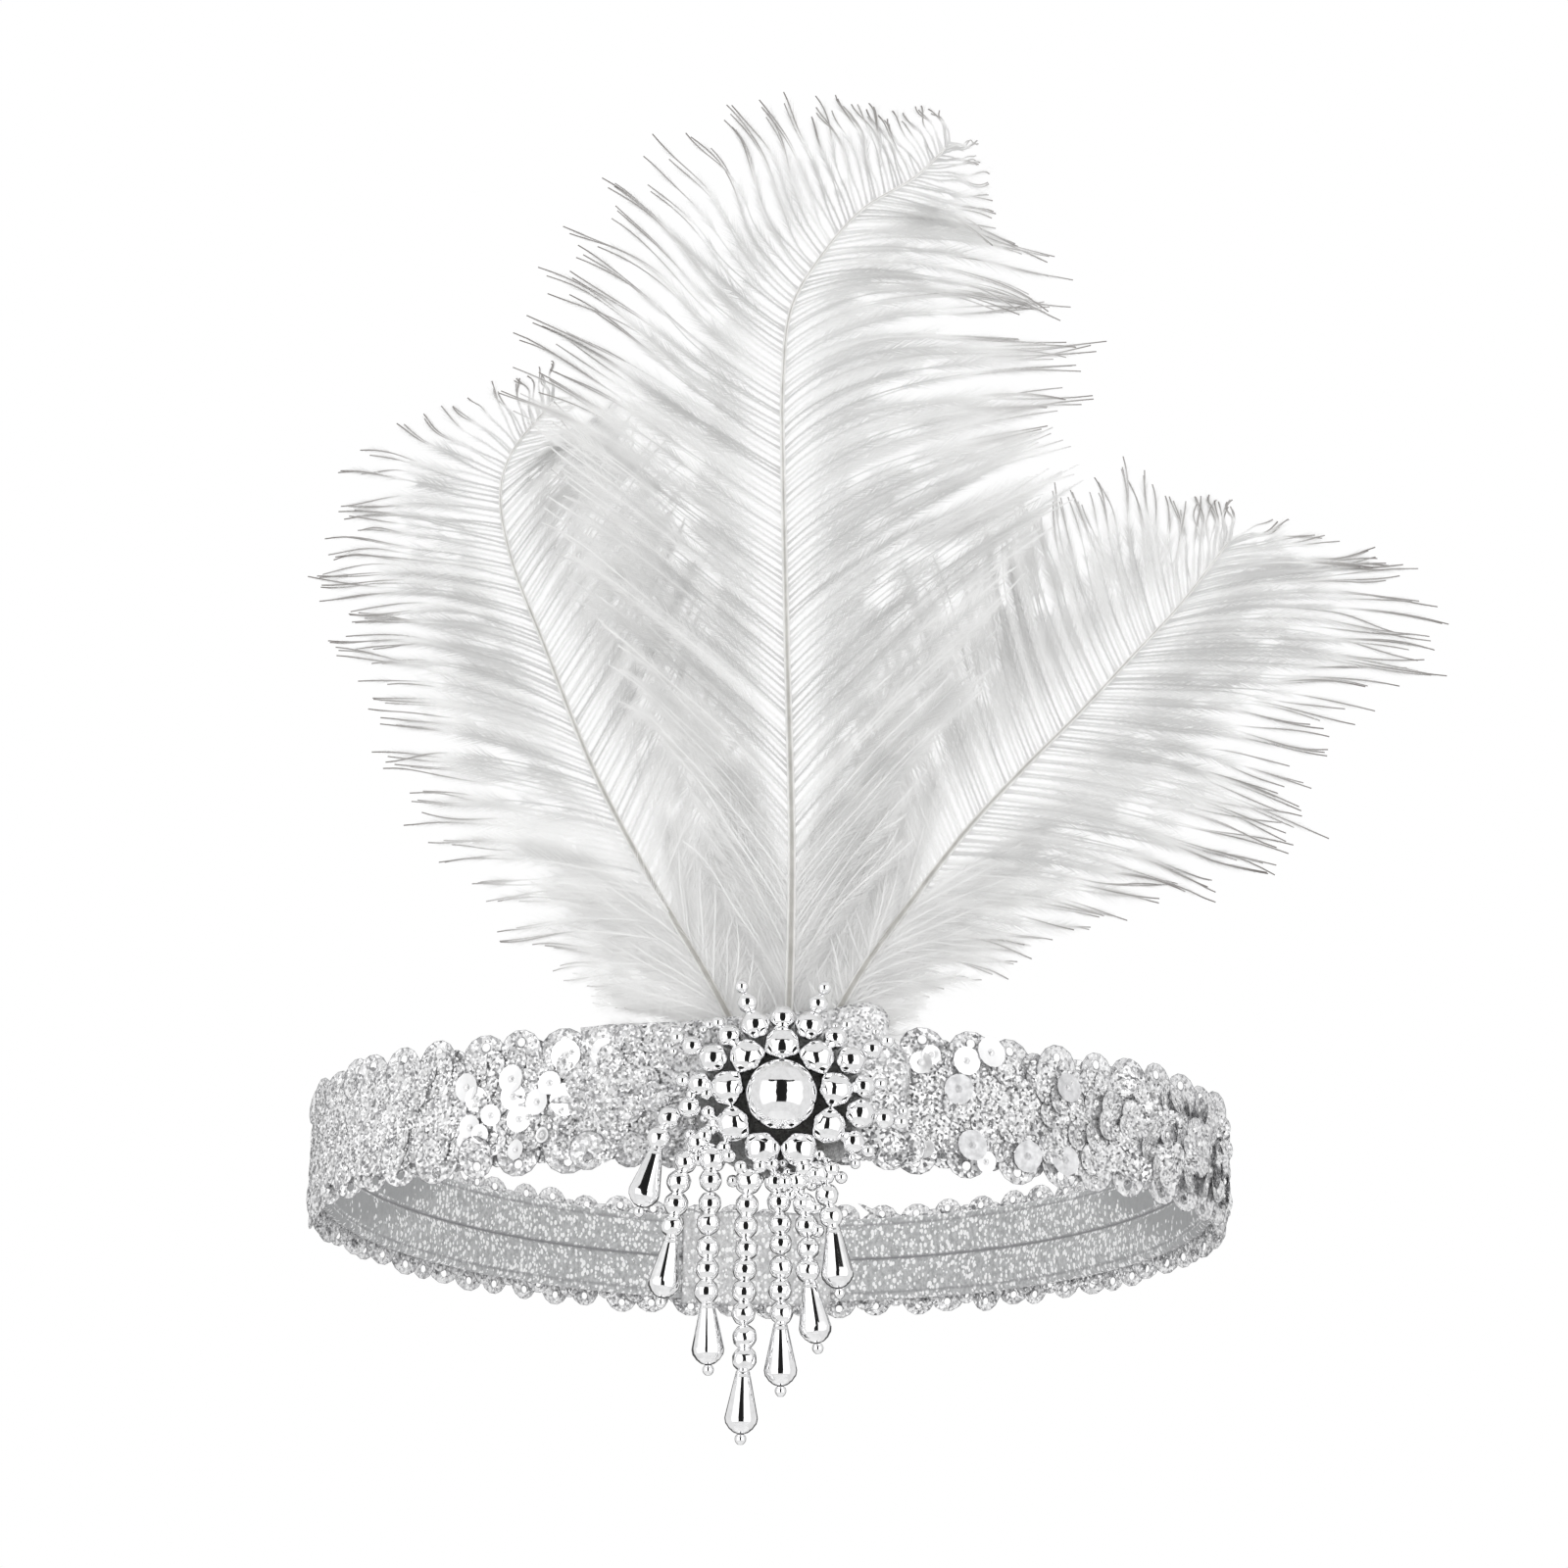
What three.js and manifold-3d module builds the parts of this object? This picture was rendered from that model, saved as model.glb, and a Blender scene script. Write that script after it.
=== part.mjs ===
// A flapper headband of the 1920s kind: a loop of sequined stretch trim, three ostrich plumes tucked
// behind a bead brooch at the front, and seven strings of beads with drops that hang below the brooch.
// Millimetres. +Z is up, -Y is the front, and the origin is the middle of the loop, where the head is.
import * as THREE from "three";
import { mergeVertices } from "three/addons/utils/BufferGeometryUtils.js";
import Module from "manifold-3d";

const wasm = await Module();
wasm.setup();

// Clearances
const GAP = 0.3; // between two pieces that lie on each other
const BEAD_GAP = 0.35; // between neighbouring beads of the brooch
const RING_GAP = 0.56; // between neighbouring beads of the ring
const LONG_RAY_GAP = 0.85; // between a long ray's first bead and the ring
const DROP_GAP = 0.1; // between a string's last bead and its drop

// Loop: the outer face of the band is two half ellipses that meet where it is widest
const LOOP_HALF_WIDTH = 82;
const LOOP_FRONT_DEPTH = 72;
const LOOP_BACK_DEPTH = 114;
const LOOP_STEPS = 1440; // steps in which the loop's length is measured

// Sequined band
const BAND_WALL = 1.6;
const BAND_CORE_HEIGHT = 17.8; // the knitted core, without the sequins that stand past its edges
const EDGE_RISE = 3.0; // how far the edge sequins stand past the core
const EDGE_NOTCH = 1.0; // how far the notches between them stand past the core
const EDGE_PITCH = 7.2; // from one edge sequin to the next

// Elastic lining: two soft welts on the inside, with a groove between them
const LINING_HEIGHT = 17.4;
const LINING_WEB = 0.8;
const WELT_RISE = 0.9;
const WELT_FLAT = [0.3, 0.7]; // where a welt's flat face starts and ends, in shares of half the height
const LINING_STATIONS = 48;

// Lapped end of the trim, sewn down over the lining at the back
const LAP_WIDTH = 34;
const LAP_CENTRE_X = -2.5;
const LAP_WALL = 1.0;
const LAP_HEIGHT = 20;
const SCALLOP_FLAT = [0.3, 0.7]; // where the low part of an edge sequin starts and ends, in shares of the pitch

// Plumes
const QUILL_DIAMETER = 1.5;
const QUILL_TIP_DIAMETER = 0.5;
const QUILL_TAPER = 1.5; // power with which a quill thins towards its tip
const QUILL_TUCK = 9.5; // how far a quill reaches down behind the patch
const DRAPE_HEIGHT = 45; // below this height over the band the vanes bend round the loop with it
const VANE_THICKNESS = 0.9;
const VANE_TIP_THICKNESS = 0.5;
const VANE_SPLIT = 0.62; // share of a barb's length where the locks part
const LOCKS_PER_SIDE = 13;
const LOCK_NARROWS = 0.45; // width of a lock halfway to its tip, as a share of its foot

// Patch of mesh cloth that holds the quills against the band
const PATCH_WIDTH = 53;
const PATCH_HEIGHT = 24;
const PATCH_WALL = 1.2;
const PATCH_CORNER_RISE = 3.3; // the free corner stands this far over the top edge
const PATCH_CENTRE_X = -4;
const PLATE_REACH = 200; // half the height of the wall that a plate is cut from
const PLATE_STATIONS = 96;

// Felt that the brooch is sewn on
const FELT_HALF_WIDTH = 13.8;
const FELT_HALF_HEIGHT = 12.2;
const FELT_WALL = 1.5;

// Brooch
const BROOCH_X = 2.2;
const BROOCH_Z = -2.2;
const CENTRE_BEAD_DIAMETER = 11.2;
const RING_BEAD_DIAMETER = 5.2;
const RING_BEADS = 9;
const RING_START = 90; // degrees from +X, for the first bead of the ring
const LONG_RAY_BEADS = [4.2, 2.9]; // diameters, from the ring outwards
const SHORT_RAY_BEAD = 3.4;
const THREAD_DIAMETER = 0.9;

// Hanging strings
const STRING_BEAD_DIAMETER = 3.05;
const STRING_BEAD_PITCH = 3.45;
const STRING_SETTLE = 0.45; // share of its slant that a string keeps from one bead to the next
const DROP_LENGTH = 9.7;
const DROP_DIAMETER = 5.2;
const DROP_TIP_DIAMETER = 1.6;

// Facets. A threaded bead has a ring of corners at each shoulder, this share of its radius from its
// middle, and is a little fuller there than a ball.
const CENTRE_BEAD_SIDES = 16;
const CENTRE_BEAD_ROWS = 10;
const FELT_SIDES = 28;
const BEAD_SIDES = 10;
const BEAD_ROWS = 5;
const BEAD_SHOULDER = 0.4;
const BEAD_FULLNESS = 1.06;
const QUILL_SIDES = 6;
const QUILL_STEPS = 14;
const BARB_STEPS = 12;
const START_STEP = 0.002; // steps along the rachis in which the vane's foot is looked for

const QUILL_SLOT = QUILL_DIAMETER + 2 * GAP;
const PATCH_OFFSET = QUILL_SLOT;
const FELT_OFFSET = PATCH_OFFSET + PATCH_WALL + GAP;
const WIDEST_Y = (LOOP_FRONT_DEPTH - LOOP_BACK_DEPTH) / 2;
const FRONT_Y = WIDEST_Y - LOOP_FRONT_DEPTH;
const BROOCH_Y = FRONT_Y - FELT_OFFSET - FELT_WALL; // front face of the felt
const BAND_TOP = BAND_CORE_HEIGHT / 2 + EDGE_RISE;

// A plume is a rachis and two vanes. A rachis row gives shares of the plume's height above the band:
// up, to the side and forward. A vane row gives the place along the vane, from its foot to its tip,
// the barbs' length as a share of the longest, and three angles in degrees from the rachis: where
// the barb leaves it, halfway out and at its end.
const PLUMES = {
  plume_centre: {
    footX: 3.2,
    tuckX: 3.4,
    height: 148.8,
    barb: 51.5,
    droop: 0.05,
    vaneFoot: 0.02,
    rachis: [
      { up: 0.087, side: 0.001, forward: 0.008 },
      { up: 0.206, side: 0.0, forward: 0.017 },
      { up: 0.429, side: -0.009, forward: 0.032 },
      { up: 0.623, side: -0.016, forward: 0.042 },
      { up: 0.733, side: -0.018, forward: 0.048 },
      { up: 0.821, side: -0.009, forward: 0.056 },
      { up: 0.88, side: 0.024, forward: 0.067 },
      { up: 0.931, side: 0.07, forward: 0.083 },
      { up: 0.966, side: 0.13, forward: 0.097 },
      { up: 1.0, side: 0.169, forward: 0.114 },
    ],
    left: [
      { at: 0.0, length: 0.5, leave: 22, mid: 25, end: 30 },
      { at: 0.1, length: 0.66, leave: 34, mid: 38, end: 44 },
      { at: 0.28, length: 0.84, leave: 44, mid: 46, end: 52 },
      { at: 0.46, length: 0.98, leave: 54, mid: 50, end: 60 },
      { at: 0.57, length: 0.92, leave: 58, mid: 50, end: 66 },
      { at: 0.7, length: 0.74, leave: 60, mid: 38, end: 56 },
      { at: 0.8, length: 0.6, leave: 80, mid: 48, end: 78 },
      { at: 0.86, length: 0.43, leave: 62, mid: 60, end: 78 },
      { at: 0.95, length: 0.18, leave: 80, mid: 86, end: 94 },
      { at: 1.0, length: 0.09, leave: 50, mid: 60, end: 70 },
    ],
    right: [
      { at: 0.0, length: 0.5, leave: 22, mid: 25, end: 30 },
      { at: 0.1, length: 0.73, leave: 36, mid: 40, end: 46 },
      { at: 0.3, length: 0.98, leave: 44, mid: 50, end: 56 },
      { at: 0.46, length: 0.96, leave: 46, mid: 66, end: 72 },
      { at: 0.56, length: 1.07, leave: 44, mid: 80, end: 86 },
      { at: 0.66, length: 0.98, leave: 43, mid: 90, end: 94 },
      { at: 0.75, length: 0.83, leave: 42, mid: 78, end: 84 },
      { at: 0.83, length: 0.71, leave: 38, mid: 58, end: 68 },
      { at: 0.9, length: 0.44, leave: 38, mid: 47, end: 58 },
      { at: 0.96, length: 0.2, leave: 36, mid: 40, end: 44 },
      { at: 1.0, length: 0.08, leave: 30, mid: 34, end: 40 },
    ],
  },
  plume_left: {
    footX: -6.2,
    tuckX: -1.2,
    height: 108.6,
    barb: 40,
    droop: 0.12,
    vaneFoot: 0.0,
    rachis: [
      { up: 0.074, side: -0.04, forward: -0.007 },
      { up: 0.16, side: -0.091, forward: -0.016 },
      { up: 0.38, side: -0.211, forward: -0.035 },
      { up: 0.595, side: -0.3, forward: -0.048 },
      { up: 0.756, side: -0.363, forward: -0.052 },
      { up: 0.857, side: -0.381, forward: -0.05 },
      { up: 0.919, side: -0.366, forward: -0.043 },
      { up: 1.0, side: -0.298, forward: -0.011 },
    ],
    left: [
      { at: 0.0, length: 0.5, leave: 54, mid: 59, end: 62 },
      { at: 0.12, length: 0.8, leave: 48, mid: 53, end: 58 },
      { at: 0.3, length: 0.99, leave: 44, mid: 52, end: 56 },
      { at: 0.5, length: 0.97, leave: 41, mid: 52, end: 70 },
      { at: 0.64, length: 0.89, leave: 45, mid: 61, end: 62 },
      { at: 0.77, length: 0.68, leave: 62, mid: 66, end: 76 },
      { at: 0.84, length: 0.6, leave: 78, mid: 81, end: 84 },
      { at: 0.9, length: 0.3, leave: 76, mid: 72, end: 70 },
      { at: 1.0, length: 0.14, leave: 46, mid: 50, end: 54 },
    ],
    right: [
      { at: 0.0, length: 0.3, leave: 46, mid: 44, end: 42 },
      { at: 0.14, length: 0.6, leave: 50, mid: 47, end: 44 },
      { at: 0.4, length: 0.76, leave: 52, mid: 49, end: 45 },
      { at: 0.7, length: 0.72, leave: 50, mid: 52, end: 50 },
      { at: 0.86, length: 0.64, leave: 44, mid: 50, end: 55 },
      { at: 0.94, length: 0.5, leave: 40, mid: 45, end: 52 },
      { at: 1.0, length: 0.2, leave: 38, mid: 42, end: 48 },
    ],
  },
  plume_right: {
    footX: 10.4,
    tuckX: 7.2,
    height: 86.1,
    barb: 50,
    droop: 0.12,
    vaneFoot: 0.02,
    rachis: [
      { up: 0.105, side: 0.054, forward: -0.014 },
      { up: 0.245, side: 0.147, forward: -0.033 },
      { up: 0.396, side: 0.256, forward: -0.049 },
      { up: 0.516, side: 0.36, forward: -0.056 },
      { up: 0.633, side: 0.47, forward: -0.06 },
      { up: 0.766, side: 0.588, forward: -0.059 },
      { up: 0.861, side: 0.672, forward: -0.058 },
      { up: 1.0, side: 0.777, forward: -0.044 },
    ],
    left: [
      { at: 0.0, length: 0.2, leave: 50, mid: 50, end: 50 },
      { at: 0.2, length: 0.54, leave: 56, mid: 52, end: 50 },
      { at: 0.4, length: 0.68, leave: 62, mid: 55, end: 50 },
      { at: 0.6, length: 0.67, leave: 68, mid: 55, end: 50 },
      { at: 0.74, length: 0.6, leave: 66, mid: 53, end: 52 },
      { at: 0.81, length: 0.55, leave: 60, mid: 48, end: 56 },
      { at: 0.87, length: 0.37, leave: 48, mid: 34, end: 40 },
      { at: 0.93, length: 0.28, leave: 32, mid: 34, end: 40 },
      { at: 1.0, length: 0.12, leave: 24, mid: 28, end: 34 },
    ],
    right: [
      { at: 0.0, length: 0.24, leave: 50, mid: 56, end: 60 },
      { at: 0.1, length: 0.46, leave: 50, mid: 58, end: 62 },
      { at: 0.25, length: 0.72, leave: 54, mid: 58, end: 60 },
      { at: 0.42, length: 1.0, leave: 52, mid: 57, end: 57 },
      { at: 0.56, length: 0.88, leave: 51, mid: 55, end: 57 },
      { at: 0.66, length: 0.78, leave: 48, mid: 54, end: 56 },
      { at: 0.74, length: 0.98, leave: 42, mid: 49, end: 53 },
      { at: 0.81, length: 0.93, leave: 32, mid: 51, end: 57 },
      { at: 0.88, length: 0.72, leave: 33, mid: 48, end: 40 },
      { at: 0.95, length: 0.5, leave: 38, mid: 54, end: 38 },
      { at: 1.0, length: 0.16, leave: 26, mid: 30, end: 30 },
    ],
  },
};

// The rays stand between two beads of the ring, or on one of them. Beads of the ring are counted
// anticlockwise from the first.
const LONG_RAYS = [-2.5, -1.5, -0.5, 0.5, 1.5];
const SHORT_RAYS = [-3, -2, -1, 0, 1, 2];

// Strings, from left to right. side and down place the first bead from the middle of the brooch.
// leave is the slant of the string there and dropLean that of its drop, in degrees from straight
// down and positive to +X.
const STRINGS = [
  { side: -14.6, down: 1.4, firstBead: 3.0, beads: 3, leave: -58, dropLean: -14 },
  { side: -12.9, down: 7.2, firstBead: 2.9, beads: 5, leave: -36, dropLean: -8 },
  { side: -10.7, down: 9.6, firstBead: 3.6, beads: 7, leave: -3, dropLean: 2 },
  { side: -5.0, down: 13.1, firstBead: 3.6, beads: 9, leave: -2, dropLean: -1 },
  { side: -0.9, down: 12.7, firstBead: 2.9, beads: 7, leave: 12, dropLean: 1 },
  { side: 2.7, down: 13.2, firstBead: 2.9, beads: 5, leave: 18, dropLean: 8 },
  { side: 5.7, down: 11.9, firstBead: 3.3, beads: 3, leave: 30, dropLean: 6 },
];

const MATERIALS = {
  sequin: { color: 0xd2d2d4, roughness: 0.25, metalness: 0.85 },
  elastic: { color: 0xb9b9bb, roughness: 0.7, metalness: 0.1 },
  mesh: { color: 0xa9aaac, roughness: 0.6, metalness: 0.2 },
  felt: { color: 0x55534f, roughness: 0.95, metalness: 0.0 },
  feather: { color: 0xf2f1ee, roughness: 0.85, metalness: 0.0 },
  bead: { color: 0xe6e7ea, roughness: 0.06, metalness: 1.0 },
};

const headband = new THREE.Group();

function addPiece(name, geometry, material) {
  const mesh = new THREE.Mesh(geometry, new THREE.MeshStandardMaterial(MATERIALS[material]));
  mesh.name = name;
  headband.add(mesh);
}

const radians = (degrees) => (degrees * Math.PI) / 180;

// Solids in and out of manifold-3d

function solidOf(geometry) {
  const bare = geometry.clone();
  bare.deleteAttribute("normal");
  bare.deleteAttribute("uv");
  const merged = mergeVertices(bare, 1e-4);
  return new wasm.Manifold(
    new wasm.Mesh({
      numProp: 3,
      vertProperties: merged.attributes.position.array,
      triVerts: new Uint32Array(merged.index.array),
    }),
  );
}

function geometryOf(solid) {
  const mesh = solid.getMesh();
  const geometry = new THREE.BufferGeometry();
  geometry.setAttribute("position", new THREE.BufferAttribute(mesh.vertProperties, 3));
  geometry.setIndex(new THREE.BufferAttribute(mesh.triVerts, 1));
  return geometry;
}

function indexedGeometry(points, faces) {
  const geometry = new THREE.BufferGeometry().setFromPoints(points);
  geometry.setIndex(faces);
  return geometry;
}

// The loop's plan

// Point at a turn round the loop, in radians: 0 is the front and a quarter turn is +X.
// offset is how far it lies outside the band's outer face.
function loopPoint(turn, offset, z) {
  const depth = Math.cos(turn) > 0 ? LOOP_FRONT_DEPTH : LOOP_BACK_DEPTH;
  const normal = new THREE.Vector2(
    Math.sin(turn) / LOOP_HALF_WIDTH,
    -Math.cos(turn) / depth,
  ).normalize();
  return new THREE.Vector3(
    LOOP_HALF_WIDTH * Math.sin(turn) + offset * normal.x,
    WIDEST_Y - depth * Math.cos(turn) + offset * normal.y,
    z,
  );
}

// Y of the band's outer face on the front half of the loop
function loopFrontY(x) {
  const share = THREE.MathUtils.clamp(x / LOOP_HALF_WIDTH, -0.9, 0.9);
  return WIDEST_Y - LOOP_FRONT_DEPTH * Math.sqrt(1 - share * share);
}

// Turns that cut the loop into equal lengths, and the loop's whole length
function evenTurns(count) {
  const steps = LOOP_STEPS;
  const lengths = [0];
  let before = loopPoint(0, 0, 0);
  for (let i = 1; i <= steps; i++) {
    const here = loopPoint((2 * Math.PI * i) / steps, 0, 0);
    lengths.push(lengths[i - 1] + here.distanceTo(before));
    before = here;
  }
  const whole = lengths[steps];
  const turns = [];
  let i = 0;
  for (let k = 0; k < count; k++) {
    const wanted = (whole * k) / count;
    while (lengths[i + 1] < wanted) i++;
    const share = (wanted - lengths[i]) / (lengths[i + 1] - lengths[i]);
    turns.push((2 * Math.PI * (i + share)) / steps);
  }
  return { turns, whole };
}

// A closed wall round the loop. sectionOf(k) gives the corners of its section at station k as
// [offset, z] pairs, anticlockwise seen with the outside on the right.
function loopWall(turns, sectionOf) {
  const points = [];
  const faces = [];
  const corners = sectionOf(0).length;
  const count = turns.length;
  turns.forEach((turn, k) => {
    for (const [offset, z] of sectionOf(k)) points.push(loopPoint(turn, offset, z));
  });
  for (let k = 0; k < count; k++) {
    for (let c = 0; c < corners; c++) {
      const a = k * corners + c;
      const b = k * corners + ((c + 1) % corners);
      const d = ((k + 1) % count) * corners + c;
      const e = ((k + 1) % count) * corners + ((c + 1) % corners);
      faces.push(a, d, b, b, d, e);
    }
  }
  return indexedGeometry(points, faces);
}

// A plate that follows the loop: a wall between two offsets, cut to an outline drawn in X and Z.
// end is -1 for the front of the loop and 1 for the back.
function loopPlate(outline, inner, outer, end) {
  const { turns } = evenTurns(PLATE_STATIONS);
  const section = [
    [inner, -PLATE_REACH],
    [outer, -PLATE_REACH],
    [outer, PLATE_REACH],
    [inner, PLATE_REACH],
  ];
  const wall = solidOf(loopWall(turns, () => section));
  const reach = LOOP_FRONT_DEPTH + LOOP_BACK_DEPTH;
  const block = new THREE.ExtrudeGeometry(outline, { depth: reach, bevelEnabled: false });
  block.rotateX(Math.PI / 2);
  block.translate(0, end < 0 ? 0 : reach, 0);
  return geometryOf(wall.intersect(solidOf(block)));
}

// Tubes and beads

// A closed tube through rings of { at, radius }, round each of which it has the same sides.
// A ring stands square to the line from the ring before it to the ring after it.
function ringTube(rings, sides) {
  const points = [];
  const faces = [];
  const last = rings.length - 1;
  const aside = new THREE.Vector3(0, -1, 0);
  rings.forEach((ring, i) => {
    const before = rings[Math.max(0, i - 1)].at;
    const after = rings[Math.min(last, i + 1)].at;
    const along = after.clone().sub(before).normalize();
    const u = aside.clone().addScaledVector(along, -aside.dot(along)).normalize();
    const v = along.clone().cross(u);
    for (let s = 0; s < sides; s++) {
      const angle = (2 * Math.PI * s) / sides;
      points.push(
        ring.at
          .clone()
          .addScaledVector(u, ring.radius * Math.cos(angle))
          .addScaledVector(v, ring.radius * Math.sin(angle)),
      );
    }
  });
  for (let i = 0; i < last; i++) {
    for (let s = 0; s < sides; s++) {
      const a = i * sides + s;
      const b = i * sides + ((s + 1) % sides);
      faces.push(a, b, a + sides, b, b + sides, a + sides);
    }
  }
  const first = points.push(rings[0].at.clone()) - 1;
  const final = points.push(rings[last].at.clone()) - 1;
  for (let s = 0; s < sides; s++) {
    const next = (s + 1) % sides;
    faces.push(first, next, s, final, last * sides + s, last * sides + next);
  }
  return indexedGeometry(points, faces);
}

// The two rings of one bead threaded along a direction, either side of its middle
function beadRings(centre, along, diameter) {
  const radius = diameter / 2;
  return [-1, 1].map((end) => ({
    at: centre.clone().addScaledVector(along, end * BEAD_SHOULDER * radius),
    radius: radius * Math.sqrt(1 - BEAD_SHOULDER ** 2) * BEAD_FULLNESS,
  }));
}

// Beads fused on their thread. beads is a list of { centre, diameter }, in order along it.
function beadedThread(beads) {
  const rings = [];
  const threadRadius = THREAD_DIAMETER / 2;
  beads.forEach((bead, i) => {
    const before = beads[Math.max(0, i - 1)].centre;
    const after = beads[Math.min(beads.length - 1, i + 1)].centre;
    const along = after.clone().sub(before).normalize();
    const stub = bead.diameter / 2;
    if (i === 0) {
      rings.push({ at: bead.centre.clone().addScaledVector(along, -stub), radius: threadRadius });
    }
    rings.push(...beadRings(bead.centre, along, bead.diameter));
    const end = bead.centre.clone().addScaledVector(along, stub);
    if (i < beads.length - 1) {
      const next = beads[i + 1];
      const towards = bead.centre.clone().sub(next.centre).normalize();
      const start = next.centre.clone().addScaledVector(towards, next.diameter / 2);
      end.add(start).multiplyScalar(0.5);
    }
    rings.push({ at: end, radius: threadRadius });
  });
  return rings;
}

// Band, lining and lapped end

function addBand() {
  const pitches = Math.round(evenTurns(1).whole / EDGE_PITCH);
  const perSequin = 3; // stations to one edge sequin: a notch and two on its crown
  const { turns } = evenTurns(pitches * perSequin);
  const sectionOf = (k) => {
    const top = BAND_CORE_HEIGHT / 2 + (k % perSequin === 0 ? EDGE_NOTCH : EDGE_RISE);
    const low = BAND_CORE_HEIGHT / 2 + ((k + 1) % perSequin === 0 ? EDGE_NOTCH : EDGE_RISE);
    return [
      [-BAND_WALL, -low],
      [0, -low],
      [0, top],
      [-BAND_WALL, top],
    ];
  };
  addPiece("sequin_band", loopWall(turns, sectionOf), "sequin");
}

const LINING_OFFSET = -BAND_WALL - GAP;

function addLining() {
  const half = LINING_HEIGHT / 2;
  const web = LINING_OFFSET - LINING_WEB;
  const [near, far] = WELT_FLAT.map((share) => share * half);
  const section = [
    [LINING_OFFSET, -half],
    [LINING_OFFSET, half],
    [web, half],
    [web - WELT_RISE, far],
    [web - WELT_RISE, near],
    [web, 0],
    [web - WELT_RISE, -near],
    [web - WELT_RISE, -far],
    [web, -half],
  ];
  addPiece("elastic_lining", loopWall(evenTurns(LINING_STATIONS).turns, () => section), "elastic");
}

function addLappedEnd() {
  const half = LAP_WIDTH / 2;
  const high = LAP_HEIGHT / 2;
  const notch = EDGE_RISE / 2;
  const outline = new THREE.Shape();
  const start = LAP_CENTRE_X - half;
  outline.moveTo(start, high);
  outline.lineTo(start, -high + notch);
  const scallops = Math.max(2, Math.round(LAP_WIDTH / EDGE_PITCH));
  const pitch = LAP_WIDTH / scallops;
  for (let i = 0; i < scallops; i++) {
    for (const share of SCALLOP_FLAT) outline.lineTo(start + (i + share) * pitch, -high);
    outline.lineTo(start + (i + 1) * pitch, -high + notch);
  }
  outline.lineTo(start + LAP_WIDTH, high);
  const outer = LINING_OFFSET - LINING_WEB - WELT_RISE - GAP;
  addPiece("lapped_end", loopPlate(outline, outer - LAP_WALL, outer, 1), "sequin");
}

// Patch and felt

// The patch's outline from its top left corner, anticlockwise: along it in shares of its width, and up
// from its top edge in shares of its height where it's below and of its free corner's rise above
const PATCH_OUTLINE = [
  { along: 0, up: 0 },
  { along: 0.028, up: -0.875 },
  { along: 0.075, up: -1 },
  { along: 0.868, up: -1 },
  { along: 0.981, up: -0.833 },
  { along: 1, up: -0.29 },
  { along: 0.977, up: -0.16 },
  { along: 0.955, up: -0.1 },
  { along: 0.942, up: -0.04 },
  { along: 0.936, up: 0.25 },
  { along: 0.909, up: 0.8 },
  { along: 0.868, up: 1 },
  { along: 0.82, up: 0.88 },
  { along: 0.77, up: 0.5 },
  { along: 0.575, up: 0.25 },
  { along: 0.36, up: -0.02 },
  { along: 0.143, up: -0.02 },
];

function addPatch() {
  const left = PATCH_CENTRE_X - PATCH_WIDTH / 2;
  const corners = PATCH_OUTLINE.map(({ along, up }) => {
    const rise = up > 0 ? PATCH_CORNER_RISE : PATCH_HEIGHT;
    return new THREE.Vector2(left + along * PATCH_WIDTH, BAND_TOP + up * rise);
  });
  const plate = loopPlate(new THREE.Shape(corners), PATCH_OFFSET, PATCH_OFFSET + PATCH_WALL, -1);
  addPiece("quill_patch", plate, "mesh");
}

// A point of the brooch: polar in the plane of the felt, and out in front of its face
function broochPoint(radius, angle, out) {
  return new THREE.Vector3(
    BROOCH_X + radius * Math.cos(radians(angle)),
    BROOCH_Y - out,
    BROOCH_Z + radius * Math.sin(radians(angle)),
  );
}

function addFelt() {
  const felt = new THREE.CylinderGeometry(1, 1, FELT_WALL, FELT_SIDES);
  felt.scale(FELT_HALF_WIDTH, 1, FELT_HALF_HEIGHT);
  felt.translate(BROOCH_X, BROOCH_Y + FELT_WALL / 2, BROOCH_Z);
  addPiece("felt_backing", felt, "felt");
}

// Brooch beads

const RING_RADIUS = (RING_BEAD_DIAMETER + RING_GAP) / (2 * Math.sin(Math.PI / RING_BEADS));
const ringAngle = (place) => RING_START + (360 * place) / RING_BEADS;

function addBead(name, centre, diameter, sides, rows) {
  const bead = new THREE.SphereGeometry(diameter / 2, sides, rows);
  bead.rotateX(Math.PI / 2);
  bead.translate(centre.x, centre.y, centre.z);
  addPiece(name, bead, "bead");
}

function addBroochBeads() {
  const out = GAP + CENTRE_BEAD_DIAMETER / 2;
  const middle = broochPoint(0, 0, out);
  addBead("centre_bead", middle, CENTRE_BEAD_DIAMETER, CENTRE_BEAD_SIDES, CENTRE_BEAD_ROWS);
  for (let i = 0; i < RING_BEADS; i++) {
    const at = broochPoint(RING_RADIUS, ringAngle(i), GAP + RING_BEAD_DIAMETER / 2);
    addBead("ring_bead_" + (i + 1), at, RING_BEAD_DIAMETER, BEAD_SIDES, BEAD_ROWS);
  }
}

// Radius at which a bead stands off the ring's beads, at a place counted in beads round the ring
function clearOfRing(diameter, place) {
  const aside = Math.abs(place - Math.round(place)) * radians(360 / RING_BEADS);
  const apart = (RING_BEAD_DIAMETER + diameter) / 2 + BEAD_GAP;
  return RING_RADIUS * Math.cos(aside) + Math.sqrt(apart ** 2 - (RING_RADIUS * Math.sin(aside)) ** 2);
}

function addLongRay(name, place) {
  const beads = [];
  let radius = clearOfRing(LONG_RAY_BEADS[0], place) + LONG_RAY_GAP - BEAD_GAP;
  LONG_RAY_BEADS.forEach((diameter, i) => {
    if (i > 0) radius += (LONG_RAY_BEADS[i - 1] + diameter) / 2 + BEAD_GAP;
    const centre = broochPoint(radius, ringAngle(place), GAP + LONG_RAY_BEADS[0] / 2);
    beads.push({ centre, diameter });
  });
  addPiece(name, ringTube(beadedThread(beads), BEAD_SIDES), "bead");
}

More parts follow.
